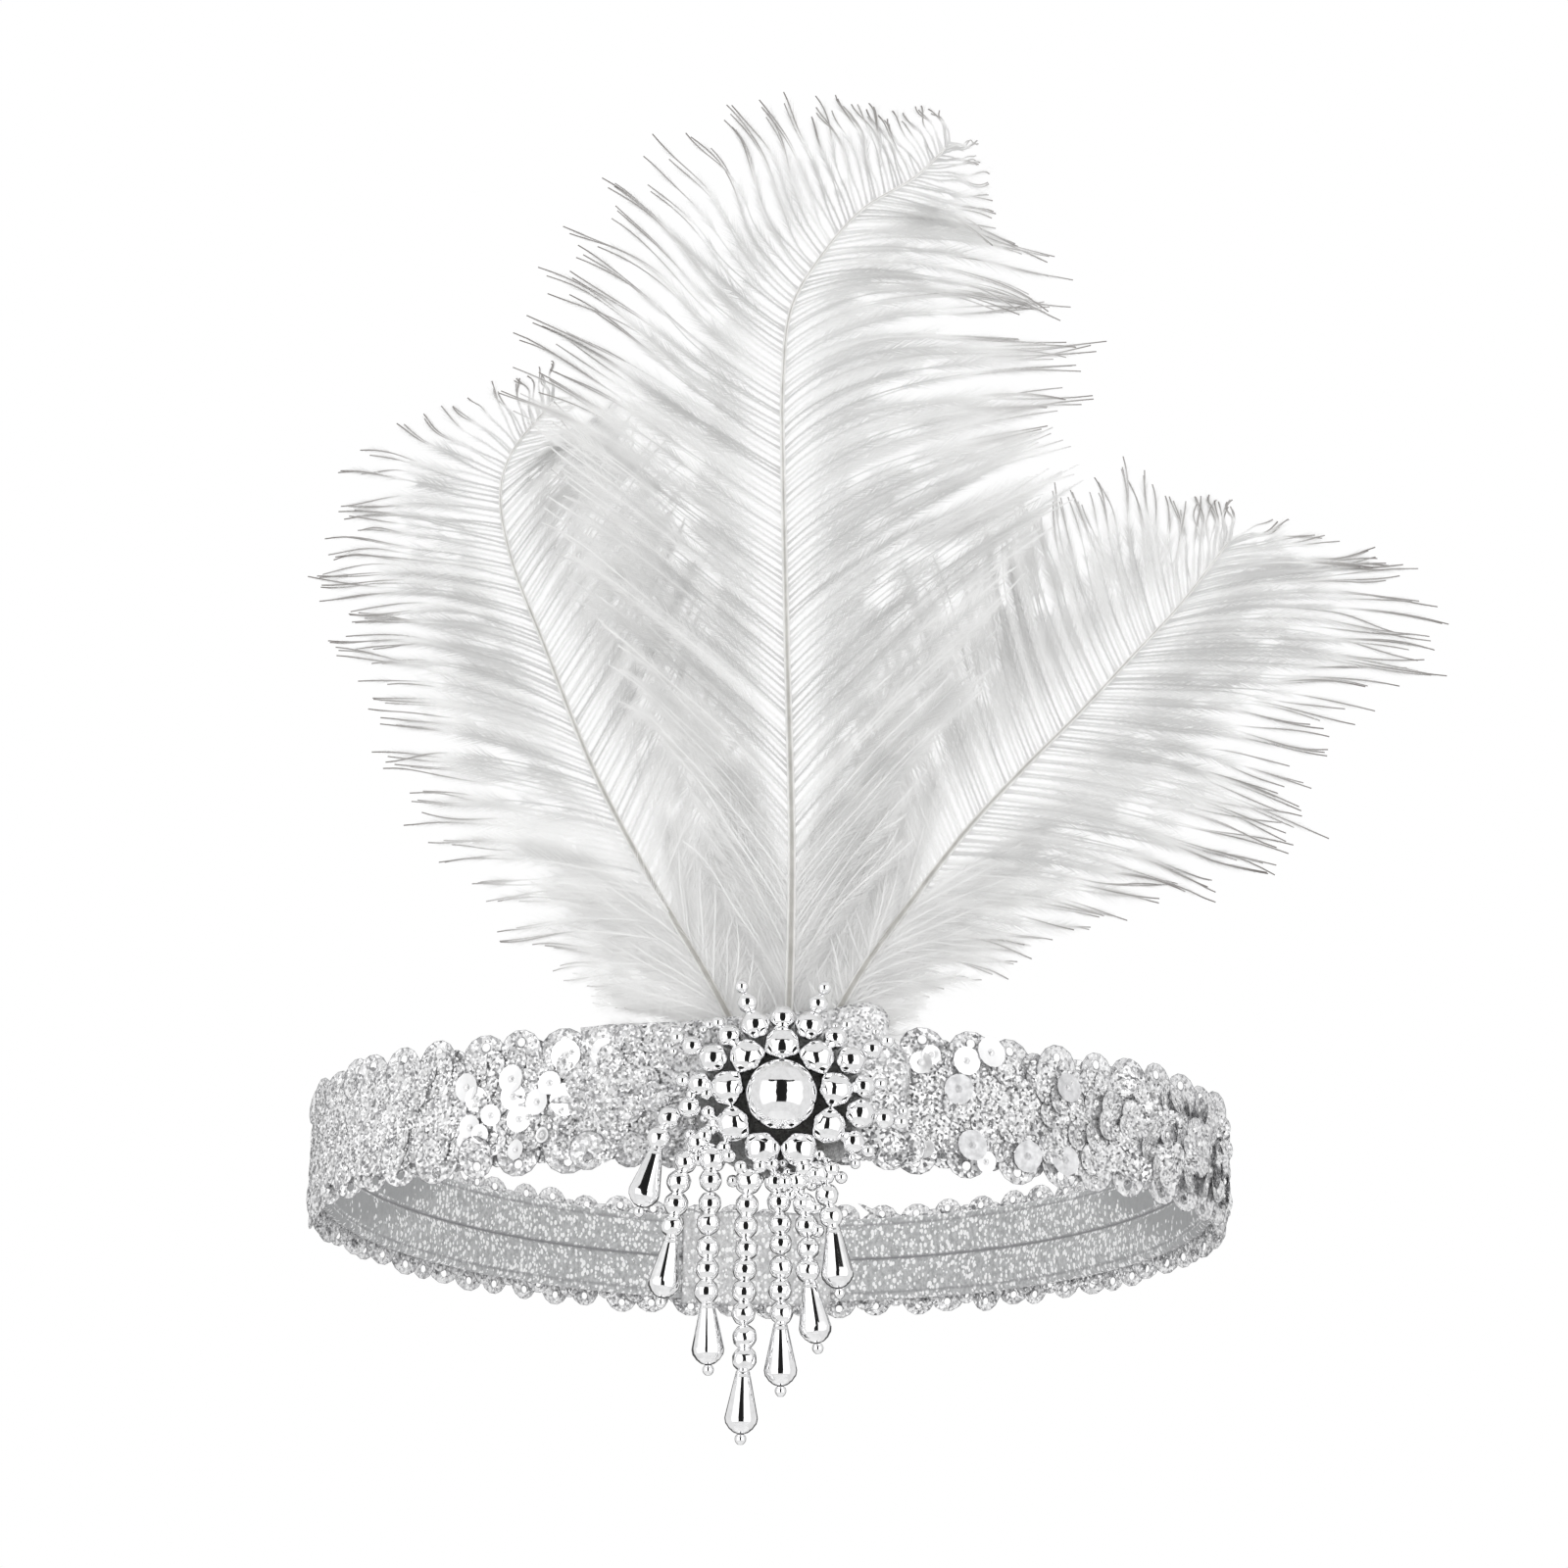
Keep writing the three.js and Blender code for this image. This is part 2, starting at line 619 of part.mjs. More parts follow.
function addShortRay(name, place) {
  const radius = clearOfRing(SHORT_RAY_BEAD, place);
  const centre = broochPoint(radius, ringAngle(place), GAP + SHORT_RAY_BEAD / 2);
  addBead(name, centre, SHORT_RAY_BEAD, BEAD_SIDES, BEAD_ROWS);
}

// Hanging strings

// The direction that slants so many degrees from straight down, positive to +X
function slanting(degrees) {
  return new THREE.Vector3(Math.sin(radians(degrees)), 0, -Math.cos(radians(degrees)));
}

function stringBeads(string) {
  const first = new THREE.Vector3(
    BROOCH_X + string.side,
    BROOCH_Y - GAP - string.firstBead / 2,
    BROOCH_Z - string.down,
  );
  const beads = [{ centre: first, diameter: string.firstBead }];
  let slant = string.leave;
  for (let i = 1; i < string.beads; i++) {
    const centre = beads[i - 1].centre.clone().addScaledVector(slanting(slant), STRING_BEAD_PITCH);
    beads.push({ centre, diameter: STRING_BEAD_DIAMETER });
    slant *= STRING_SETTLE;
  }
  return beads;
}

// A drop's outline, from its top to its tip: shares of its length and of its radius
const DROP_PROFILE = [
  { along: 0.0, width: 0.3 },
  { along: 0.4, width: 0.66 },
  { along: 0.76, width: 1.0 },
  { along: 0.9, width: 0.78 },
  { along: 1.0, width: 0.3 },
];

function addString(name, string) {
  const beads = stringBeads(string);
  const rings = beadedThread(beads);
  const along = slanting(string.dropLean);
  const lastBead = beads[beads.length - 1];
  rings.pop();
  const top = lastBead.centre.clone().addScaledVector(along, lastBead.diameter / 2 + DROP_GAP);
  for (const { along: share, width } of DROP_PROFILE) {
    rings.push({
      at: top.clone().addScaledVector(along, share * DROP_LENGTH),
      radius: (width * DROP_DIAMETER) / 2,
    });
  }
  const tip = top.clone().addScaledVector(along, DROP_LENGTH + DROP_TIP_DIAMETER / 2);
  rings.push(...beadRings(tip, along, DROP_TIP_DIAMETER));
  addPiece(name, ringTube(rings, BEAD_SIDES), "bead");
}

// Plumes

// The value of a column at a place in a table whose rows are sorted by "at"
function tableValue(rows, column, at) {
  let i = 1;
  while (i < rows.length - 1 && rows[i].at < at) i++;
  const [before, after] = [rows[i - 1], rows[i]];
  const share = THREE.MathUtils.clamp((at - before.at) / (after.at - before.at), 0, 1);
  return THREE.MathUtils.lerp(before[column], after[column], share);
}

function rachisCurve(plume) {
  const footY = loopFrontY(plume.footX) - QUILL_SLOT / 2;
  const tuckY = loopFrontY(plume.tuckX) - QUILL_SLOT / 2;
  const points = [
    new THREE.Vector3(plume.tuckX, tuckY, BAND_TOP - QUILL_TUCK),
    new THREE.Vector3(plume.footX, footY, BAND_TOP),
  ];
  for (const { up, side, forward } of plume.rachis) {
    points.push(
      new THREE.Vector3(
        plume.footX + side * plume.height,
        footY - forward * plume.height,
        BAND_TOP + up * plume.height,
      ),
    );
  }
  return new THREE.CatmullRomCurve3(points, false, "centripetal");
}

// Where a plume's vane starts, as a share of its rachis curve
function vaneStart(plume, curve) {
  const wanted = BAND_TOP + plume.vaneFoot * plume.height;
  let share = 0;
  while (curve.getPointAt(share).z < wanted) share += START_STEP;
  return share;
}

// A function that gives the points of a barb. side is 1 for the vane to the left of the rachis seen
// from the front, and -1 for the right. at runs along the vane and out along the barb, each 0 to 1.
function barbOf(plume, curve) {
  const start = vaneStart(plume, curve);
  return (side, at, out) => {
    const share = start + (1 - start) * at;
    const point = curve.getPointAt(share);
    const tangent = curve.getTangentAt(share);
    const heading = Math.atan2(tangent.z, tangent.x);
    const rows = side > 0 ? plume.left : plume.right;
    const length = plume.barb * tableValue(rows, "length", at);
    const [leave, mid, end] = ["leave", "mid", "end"].map((c) => tableValue(rows, c, at));
    for (let i = 0; i < BARB_STEPS; i++) {
      const v = ((i + 0.5) / BARB_STEPS) * out;
      const turned = v < 0.5 ? leave + (mid - leave) * 2 * v : mid + (end - mid) * (2 * v - 1);
      const angle = heading + side * radians(turned);
      point.x += (Math.cos(angle) * length * out) / BARB_STEPS;
      point.z += (Math.sin(angle) * length * out) / BARB_STEPS;
    }
    const follow = Math.max(0, 1 - (point.z - BAND_TOP) / DRAPE_HEIGHT);
    const root = curve.getPointAt(share);
    point.y += follow * (loopFrontY(point.x) - loopFrontY(root.x));
    point.y += plume.droop * length * out * out;
    return point;
  };
}

// Both vanes as one sheet through the rachis, whose locks part at VANE_SPLIT
function vaneSheet(plume, curve) {
  const barb = barbOf(plume, curve);
  const points = [];
  const faces = [];
  const half = (out) => THREE.MathUtils.lerp(VANE_THICKNESS, VANE_TIP_THICKNESS, out) / 2;
  const pair = (point, out) => {
    const front = points.push(point.clone().add(new THREE.Vector3(0, -half(out), 0))) - 1;
    const back = points.push(point.clone().add(new THREE.Vector3(0, half(out), 0))) - 1;
    return { front, back };
  };
  const quad = (a, b, c, d) => faces.push(a, b, c, a, c, d);
  // Front and back faces of a patch of the sheet, anticlockwise seen from the front
  const slab = (a, b, c, d) => {
    quad(a.front, b.front, c.front, d.front);
    quad(a.back, d.back, c.back, b.back);
  };
  // The edge from a to b, with the sheet on its left seen from the front
  const edge = (a, b) => quad(a.front, a.back, b.back, b.front);

  const rows = [VANE_SPLIT / 2, VANE_SPLIT];
  const boundaries = Array.from({ length: LOCKS_PER_SIDE + 1 }, (_, i) => i / LOCKS_PER_SIDE);
  const middle = boundaries.map((at) => pair(barb(1, at, 0), 0));
  for (const side of [1, -1]) {
    const grid = boundaries.map((at, i) => [
      middle[i],
      ...rows.map((out) => pair(barb(side, at, out), out)),
    ]);
    const turnedSlab = (a, b, c, d) => (side > 0 ? slab(a, b, c, d) : slab(d, c, b, a));
    const turnedEdge = (a, b) => (side > 0 ? edge(a, b) : edge(b, a));
    for (let i = 0; i < LOCKS_PER_SIDE; i++) {
      const [low, high] = [grid[i], grid[i + 1]];
      for (let r = 0; r < rows.length; r++) {
        turnedSlab(low[r], high[r], high[r + 1], low[r + 1]);
      }
      const at = (boundaries[i] + boundaries[i + 1]) / 2;
      const shoulder = (VANE_SPLIT + 1) / 2;
      const narrow = (LOCK_NARROWS * (boundaries[i + 1] - boundaries[i])) / 2;
      const lowMid = pair(barb(side, at - narrow, shoulder), shoulder);
      const highMid = pair(barb(side, at + narrow, shoulder), shoulder);
      const tip = pair(barb(side, at, 1), 1);
      const [lowSplit, highSplit] = [low[rows.length], high[rows.length]];
      turnedSlab(lowSplit, highSplit, highMid, lowMid);
      if (side > 0) {
        faces.push(lowMid.front, highMid.front, tip.front, lowMid.back, tip.back, highMid.back);
      } else {
        faces.push(lowMid.front, tip.front, highMid.front, lowMid.back, highMid.back, tip.back);
      }
      turnedEdge(lowMid, lowSplit);
      turnedEdge(tip, lowMid);
      turnedEdge(highMid, tip);
      turnedEdge(highSplit, highMid);
    }
    const [foot, head] = [grid[0], grid[LOCKS_PER_SIDE]];
    for (let r = 0; r < rows.length; r++) {
      turnedEdge(foot[r + 1], foot[r]);
      turnedEdge(head[r], head[r + 1]);
    }
  }
  return indexedGeometry(points, faces);
}

function quill(curve) {
  const rings = Array.from({ length: QUILL_STEPS + 1 }, (_, i) => {
    const share = i / QUILL_STEPS;
    const diameter = THREE.MathUtils.lerp(QUILL_DIAMETER, QUILL_TIP_DIAMETER, share ** QUILL_TAPER);
    return { at: curve.getPointAt(share), radius: diameter / 2 };
  });
  return ringTube(rings, QUILL_SIDES);
}

function addPlume(name, plume) {
  const curve = rachisCurve(plume);
  const whole = solidOf(quill(curve)).add(solidOf(vaneSheet(plume, curve)));
  addPiece(name, geometryOf(whole), "feather");
}

addBand();
addLining();
addLappedEnd();
addPatch();
addFelt();
addBroochBeads();
LONG_RAYS.forEach((place, i) => addLongRay("long_ray_" + (i + 1), place));
SHORT_RAYS.forEach((place, i) => addShortRay("short_ray_" + (i + 1), place));
STRINGS.forEach((string, i) => addString("bead_string_" + (i + 1), string));
for (const [name, plume] of Object.entries(PLUMES)) addPlume(name, plume);

export default headband;
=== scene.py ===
"""The looks of a flapper headband: sequined loop, bead brooch, hanging strings and three ostrich plumes.

Shapes are worked out in millimetres with numpy, in the frame of the CAD model (+Z up, -Y the front,
the origin in the middle of the loop), and become metres when a mesh is made.
"""

import math

import bpy
import numpy as np
from mathutils import Matrix, Vector

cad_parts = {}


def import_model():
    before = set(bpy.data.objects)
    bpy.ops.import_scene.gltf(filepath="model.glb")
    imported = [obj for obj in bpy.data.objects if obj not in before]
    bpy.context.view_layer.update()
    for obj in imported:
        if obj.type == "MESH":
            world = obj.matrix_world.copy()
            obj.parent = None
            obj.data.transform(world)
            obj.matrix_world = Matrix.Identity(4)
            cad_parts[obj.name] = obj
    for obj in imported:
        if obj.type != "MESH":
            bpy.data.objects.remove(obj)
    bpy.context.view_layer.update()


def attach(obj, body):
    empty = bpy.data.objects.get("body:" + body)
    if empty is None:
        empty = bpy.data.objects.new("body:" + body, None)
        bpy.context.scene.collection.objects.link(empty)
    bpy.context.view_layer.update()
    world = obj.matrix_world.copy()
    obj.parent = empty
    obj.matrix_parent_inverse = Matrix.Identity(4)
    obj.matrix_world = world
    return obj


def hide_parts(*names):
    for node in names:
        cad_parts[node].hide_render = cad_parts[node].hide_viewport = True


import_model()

MM = 0.001
UP = np.array([0.0, 0.0, 1.0])
RIGHT = np.array([1.0, 0.0, 0.0])
FORWARD = np.array([0.0, -1.0, 0.0])

# Sizes shared with the CAD model
LOOP_HALF_WIDTH = 82.0
LOOP_FRONT_DEPTH = 72.0
LOOP_BACK_DEPTH = 114.0
WIDEST_Y = (LOOP_FRONT_DEPTH - LOOP_BACK_DEPTH) / 2
CORE_HEIGHT = 17.8
EDGE_RISE = 3.0
BAND_TOP = CORE_HEIGHT / 2 + EDGE_RISE
LINING_OFFSET = -1.9
LINING_HEIGHT = 17.4
QUILL_SLOT = 2.1
QUILL_TUCK = 9.5
DRAPE_HEIGHT = 45.0
PATCH_OFFSET = QUILL_SLOT
FELT_OFFSET = 3.6
FELT_WALL = 1.5
BROOCH = np.array([2.2, WIDEST_Y - LOOP_FRONT_DEPTH - FELT_OFFSET - FELT_WALL, -2.2])
GAP = 0.3


# Small numeric helpers

def smooth(value):
    """0 below 0, 1 above 1, and an even curve between."""
    t = np.clip(value, 0.0, 1.0)
    return t * t * (3 - 2 * t)


def unit(vectors):
    return vectors / np.maximum(np.linalg.norm(vectors, axis=-1, keepdims=True), 1e-9)


def round_angles(sides):
    """Evenly spaced angles once round, in radians."""
    return np.arange(sides) * 2 * np.pi / sides


def read_off(wanted, places, table):
    """Rows of a table read off between its own rows, which stand at the given places."""
    return np.stack([np.interp(wanted, places, column) for column in table.T], -1)


def along_line(corners, count):
    """Evenly spaced points on a line through corners."""
    corners = np.asarray(corners, float)
    reach = np.concatenate([[0], np.cumsum(np.linalg.norm(np.diff(corners, axis=0), axis=1))])
    return read_off(np.linspace(0, reach[-1], count), reach, corners)


# The loop's plan

def loop_depth(turn):
    return np.where(np.cos(turn) > 0, LOOP_FRONT_DEPTH, LOOP_BACK_DEPTH)


def loop_point(turn, offset=0.0, z=0.0):
    """Point at a turn round the loop in radians, 0 at the front, offset outside the band's face."""
    turn = np.asarray(turn, float)
    depth = loop_depth(turn)
    normal = loop_normal(turn)
    x = LOOP_HALF_WIDTH * np.sin(turn) + offset * normal[..., 0]
    y = WIDEST_Y - depth * np.cos(turn) + offset * normal[..., 1]
    return np.stack(np.broadcast_arrays(x, y, z), -1)


def loop_normal(turn):
    turn = np.asarray(turn, float)
    return unit(np.stack([np.sin(turn) / LOOP_HALF_WIDTH, -np.cos(turn) / loop_depth(turn), 0 * turn], -1))


def loop_lengths():
    turns = np.linspace(0, 2 * np.pi, 4001)
    points = loop_point(turns)
    steps = np.linalg.norm(np.diff(points, axis=0), axis=1)
    return turns, np.concatenate([[0], np.cumsum(steps)])


LOOP_TURNS, LOOP_REACH = loop_lengths()
LOOP_ROUND = LOOP_REACH[-1]


def turn_at(length):
    """Turn at a length along the loop, counted from the front towards +X."""
    return np.interp(np.mod(length, LOOP_ROUND), LOOP_REACH, LOOP_TURNS)


def even_turns(count):
    """Turns evenly spaced by length round the loop."""
    return turn_at(np.arange(count) * LOOP_ROUND / count)


def loop_front_y(x):
    share = np.clip(x / LOOP_HALF_WIDTH, -0.9, 0.9)
    return WIDEST_Y - LOOP_FRONT_DEPTH * np.sqrt(1 - share * share)


# Mesh making

def new_object(name, data):
    made = bpy.data.objects.new(name, data)
    bpy.context.scene.collection.objects.link(made)
    return made


def make_piece(name, points, faces, material, replaces=(), layers=None):
    """A mesh object from points in millimetres. faces is one array or several, each n by 3 or n by 4."""
    groups = [np.asarray(f, np.int64) for f in (faces if isinstance(faces, list) else [faces])]
    mesh = bpy.data.meshes.new(name)
    mesh.vertices.add(len(points))
    mesh.vertices.foreach_set("co", (np.asarray(points) * MM).astype(np.float32).ravel())
    sizes = np.concatenate([np.full(len(g), g.shape[1]) for g in groups])
    corners = np.concatenate([g.ravel() for g in groups])
    mesh.loops.add(len(corners))
    mesh.loops.foreach_set("vertex_index", corners.astype(np.int32))
    mesh.polygons.add(len(sizes))
    starts = np.concatenate([[0], np.cumsum(sizes)[:-1]])
    mesh.polygons.foreach_set("loop_start", starts.astype(np.int32))
    for key, values in (layers or {}).items():
        attribute = mesh.attributes.new(key, "FLOAT", "POINT")
        attribute.data.foreach_set("value", np.asarray(values, np.float32))
    mesh.update(calc_edges=True)
    mesh.validate()
    mesh.polygons.foreach_set("use_smooth", np.full(len(mesh.polygons), True))
    piece = new_object(name, mesh)
    mesh.materials.append(material)
    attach(piece, "root")
    if replaces:
        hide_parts(*replaces)
    return piece


def grid_faces(rows, columns, wrap_rows=False, wrap_columns=False, start=0):
    """Quads of a grid of points numbered row by row."""
    r = np.arange(rows if wrap_rows else rows - 1)
    c = np.arange(columns if wrap_columns else columns - 1)
    r, c = np.meshgrid(r, c, indexing="ij")
    r2 = (r + 1) % rows
    c2 = (c + 1) % columns
    quads = np.stack([r * columns + c, r2 * columns + c, r2 * columns + c2, r * columns + c2], -1)
    return quads.reshape(-1, 4) + start


class Parts:
    """Collects points and faces of many small shapes into one mesh."""

    def __init__(self):
        self.points = []
        self.faces = {3: [], 4: []}
        self.tones = []
        self.count = 0

    def add(self, points, faces, tone=0.0):
        points = np.asarray(points).reshape(-1, 3)
        for group in faces if isinstance(faces, list) else [faces]:
            self.faces[group.shape[1]].append(group + self.count)
        self.points.append(points)
        self.tones.append(np.broadcast_to(np.asarray(tone, float), (len(points),)))
        self.count += len(points)

    def piece(self, name, material, slot, replaces=()):
        groups = [np.concatenate(g) for g in self.faces.values() if g]
        points = np.concatenate(self.points)
        layers = {"tone": np.concatenate(self.tones)}
        make_piece(name, points, groups, material, replaces, layers)


# Materials

def add_node(tree, kind, links=(), **settings):
    """A node with its settings. links gives each socket a value, or the output that it follows."""
    made = tree.nodes.new(kind)
    for key, value in settings.items():
        setattr(made, key, value)
    for socket, source in dict(links).items():
        if isinstance(source, bpy.types.NodeSocket):
            tree.links.new(source, made.inputs[socket])
        else:
            made.inputs[socket].default_value = source
    return made


class Shader:
    """A node material with a Principled surface."""

    def __init__(self, name, color, roughness, metallic=0.0, **sockets):
        self.material = bpy.data.materials.new(name)
        self.material.use_nodes = True
        self.tree = self.material.node_tree
        self.surface = self.tree.nodes["Principled BSDF"]
        self.surface.inputs["Base Color"].default_value = (*color, 1)
        self.surface.inputs["Roughness"].default_value = roughness
        self.surface.inputs["Metallic"].default_value = metallic
        for socket, value in sockets.items():
            self.surface.inputs[socket.replace("_", " ")].default_value = value

    def node(self, kind, links=(), **settings):
        return add_node(self.tree, kind, links, **settings)

    def vector(self, operation, links):
        return self.node("ShaderNodeVectorMath", links, operation=operation).outputs[0]

    def place(self):
        return self.node("ShaderNodeTexCoord").outputs["Object"]

    def noise(self, scale, detail=2.0, roughness=0.5, place=None):
        links = {"Vector": place or self.place(), "Scale": scale, "Detail": detail}
        links["Roughness"] = roughness
        return self.node("ShaderNodeTexNoise", links).outputs["Fac"]

    def cells(self, scale, place=None):
        links = {"Vector": place or self.place(), "Scale": scale}
        return self.node("ShaderNodeTexVoronoi", links)

    def remap(self, value, low, high, to_low=0.0, to_high=1.0):
        links = {"Value": value, "From Min": low, "From Max": high}
        links.update({"To Min": to_low, "To Max": to_high})
        return self.node("ShaderNodeMapRange", links).outputs["Result"]

    def math(self, operation, a, b=0.0):
        return self.node("ShaderNodeMath", {0: a, 1: b}, operation=operation).outputs[0]

    def clouds(self, scale, detail=2.0, roughness=0.5, low=0.0, high=1.0):
        """Noise spread out between low and high."""
        return self.remap(self.noise(scale, detail, roughness), 0.3, 0.7, low, high)

    def attribute(self, name):
        return self.node("ShaderNodeAttribute", attribute_name=name).outputs["Fac"]

    def color_between(self, factor, first, second):
        links = {0: factor}
        for socket, value in ((6, first), (7, second)):
            links[socket] = value if isinstance(value, bpy.types.NodeSocket) else (*value, 1)
        return self.node("ShaderNodeMix", links, data_type="RGBA").outputs[2]

    def feed(self, socket, source):
        self.tree.links.new(source, self.surface.inputs[socket])

    def bump(self, height, distance, strength=1.0):
        links = {"Height": height, "Distance": distance, "Strength": strength}
        self.feed("Normal", self.node("ShaderNodeBump", links).outputs["Normal"])

    def glitter(self, scale, spread):
        """Tips each glitter flake its own way. Returns a random number for each flake."""
        cells = self.cells(scale)
        middle = self.vector("SUBTRACT", {0: cells.outputs["Color"], 1: (0.5, 0.5, 0.5)})
        tip = self.vector("SCALE", {0: middle, "Scale": spread})
        face = self.node("ShaderNodeNewGeometry").outputs["Normal"]
        total = self.vector("ADD", {0: face, 1: tip})
        self.feed("Normal", self.vector("NORMALIZE", {0: total}))
        return self.node("ShaderNodeSeparateColor", {0: cells.outputs["Color"]}).outputs[0]


def glitter_material(name, dark, light, scale=2500.0, spread=1.1, roughness=0.25, metallic=0.65, rim=0.15):
    """Flakes of glitter in a clear film, darker round the rim by painted shade, with a white stitch where
    tone is -1.
    """
    shader = Shader(name, light, roughness, metallic)
    flake = shader.glitter(scale, spread)
    clouds = shader.clouds(300.0, 3.0, 0.6, -0.25, 0.25)
    tone = shader.math("ADD", flake, clouds)
    face = shader.color_between(shader.remap(tone, 0.05, 0.6), dark, light)
    layer = shader.attribute("tone")
    # worn here is the face colour darkened by painted shade at each disc's rim and at the edge of its hole,
    # where tone is 1; rim is how dark.
    worn = shader.color_between(shader.remap(layer, 0.3, 1.0, 0.0, rim), face, (0.14, 0.14, 0.15))
    shader.feed("Base Color", shader.color_between(shader.remap(layer, 0.0, -1.0), worn, (1.0, 1.0, 1.0)))
    return shader.material


def shine_material(name, dark, light, metallic):
    """Smooth face of a sequin whose glitter has worn off."""
    shader = Shader(name, light, 0.25, metallic)
    shader.bump(shader.noise(420.0, 2.0), 0.00012, 0.5)
    tone = shader.clouds(900.0, 3.0)
    shader.feed("Base Color", shader.color_between(tone, dark, light))
    return shader.material


def lining_material(name="lining_knit", dark=(0.37, 0.375, 0.38), light=(0.6, 0.605, 0.61), plenty=0.12):
    """Grey elastic knit with dots of glitter thread, painted white, partly as glints. Tone is 1 along its
    seams, which get painted shade, and -1 means no dots and painted shade.
    """
    shader = Shader(name, light, 0.75, 0.0, Specular_IOR_Level=0.25)
    place = shader.place()
    stretch = shader.node("ShaderNodeMapping", {"Vector": place, "Scale": (1.0, 1.0, 0.75)}).outputs[0]
    cells = shader.cells(1200.0, stretch)
    pick = shader.node("ShaderNodeSeparateColor", {0: cells.outputs["Color"]})
    size = shader.remap(pick.outputs[1], 0.0, 1.0, 0.26, 0.56)
    dot = shader.math("LESS_THAN", cells.outputs["Distance"], size)
    patchy = shader.remap(shader.noise(130.0, 2.0, place=place), 0.35, 0.65, -0.16, 0.16)
    layer = shader.attribute("tone")
    plain = shader.remap(layer, -1.0, 0.0, -0.75, 0.0)
    wish = shader.math("ADD", shader.math("ADD", pick.outputs[0], patchy), plain)
    # The dots are glitter thread painted white: partly the thread's own colour, partly painted glints.
    bright = shader.math("MULTIPLY", dot, shader.math("GREATER_THAN", wish, plenty))
    bright = shader.math("MULTIPLY", bright, shader.remap(layer, 0.2, 0.8, 1.0, 0.0))
    shade = shader.remap(shader.noise(1300.0, 3.0, 0.7, stretch), 0.35, 0.65)
    cloth = shader.color_between(shade, dark, light)
    # Painted shade at the ends of the loop, where tone is -1.
    cloth = shader.color_between(shader.remap(layer, -1.0, 0.0, 0.8, 0.0), cloth, (0.36, 0.365, 0.37))
    # Painted shade along the groove and the hems, where tone is 1.
    seam_shade = shader.color_between(shader.remap(layer, 0.1, 1.0), cloth, (0.28, 0.28, 0.29))
    gleam = shader.color_between(pick.outputs[2], (0.94, 0.94, 0.95), (1.0, 1.0, 1.0))
    shader.feed("Base Color", shader.color_between(bright, seam_shade, gleam))
    shader.bump(shader.noise(1500.0, 2.0, place=stretch), 0.00025, 0.5)
    return shader.material


def felt_material():
    shader = Shader("felt_fuzz", (0.2, 0.2, 0.195), 0.95, 0.0, Specular_IOR_Level=0.1)
    fuzz = shader.clouds(1600.0, 4.0, 0.7)
    dark = shader.color_between(fuzz, (0.2, 0.198, 0.195), (0.5, 0.495, 0.48))
    dusty = shader.color_between(fuzz, (0.4, 0.4, 0.4), (0.85, 0.85, 0.85))
    shader.feed("Base Color", shader.color_between(shader.attribute("tone"), dark, dusty))
    shader.bump(fuzz, 0.0004, 0.8)
    return shader.material


def bead_material(name="mirror_silver", roughness=0.05, dents=0.22):
    shader = Shader(name, (0.95, 0.95, 0.955), roughness, 1.0)
    wear = shader.remap(shader.noise(1100.0, 3.0), 0.4, 0.75)
    shader.feed("Base Color", shader.color_between(wear, (0.97, 0.97, 0.975), (0.86, 0.86, 0.865)))
    shader.bump(shader.noise(550.0, 1.5), 0.00025, dents)
    return shader.material


def thread_material():
    shader = Shader("thread_grey", (0.45, 0.45, 0.46), 0.6)
    shader.feed("Base Color", shader.color_between(shader.noise(3000.0), (0.3, 0.3, 0.31), (0.6, 0.6, 0.61)))
    return shader.material


FEATHER_LETS_THROUGH = 0.3


def barb_material():
    """White fluff in paler and darker barbs, going grey-brown at the very tips, that lets light through."""
    shader = Shader("feather_white", (0.9, 0.9, 0.89), 0.8, 0.0, Specular_IOR_Level=0.2)
    layer = shader.attribute("tone")
    clouds = shader.clouds(120.0, 3.0, 0.6, -0.15, 0.15)
    pale = shader.math("ADD", shader.remap(layer, 0.0, 1.0), clouds)
    white = shader.color_between(pale, (0.74, 0.74, 0.735), (0.985, 0.985, 0.98))
    color = shader.color_between(shader.remap(layer, 1.1, 2.0), white, (0.27, 0.25, 0.24))
    shader.feed("Base Color", color)
    through = shader.node("ShaderNodeBsdfTranslucent", {"Color": color})
    links = {0: FEATHER_LETS_THROUGH, 1: shader.surface.outputs[0], 2: through.outputs[0]}
    both = shader.node("ShaderNodeMixShader", links)
    shader.tree.links.new(both.outputs[0], shader.tree.nodes["Material Output"].inputs["Surface"])
    return shader.material


def quill_material():
    """Pale shaft, with a beige-grey stripe of painted shade for a groove where the tone layer is 1."""
    shader = Shader("quill_ivory", (0.85, 0.85, 0.83), 0.4, 0.0, Specular_IOR_Level=0.4)
    grain = shader.clouds(400.0, 3.0)
    pale = shader.color_between(grain, (0.8, 0.795, 0.78), (0.95, 0.945, 0.93))
    # The groove is not modelled: this darker colour is its painted shade.
    groove = shader.color_between(grain, (0.4, 0.39, 0.365), (0.55, 0.54, 0.51))
    shader.feed("Base Color", shader.color_between(shader.attribute("tone"), pale, groove))
    return shader.material


GLITTER = glitter_material("glitter_sequin", (0.36, 0.36, 0.37), (0.98, 0.98, 0.985))
NET = glitter_material("glitter_net", (0.38, 0.38, 0.39), (0.92, 0.92, 0.93), roughness=0.4)
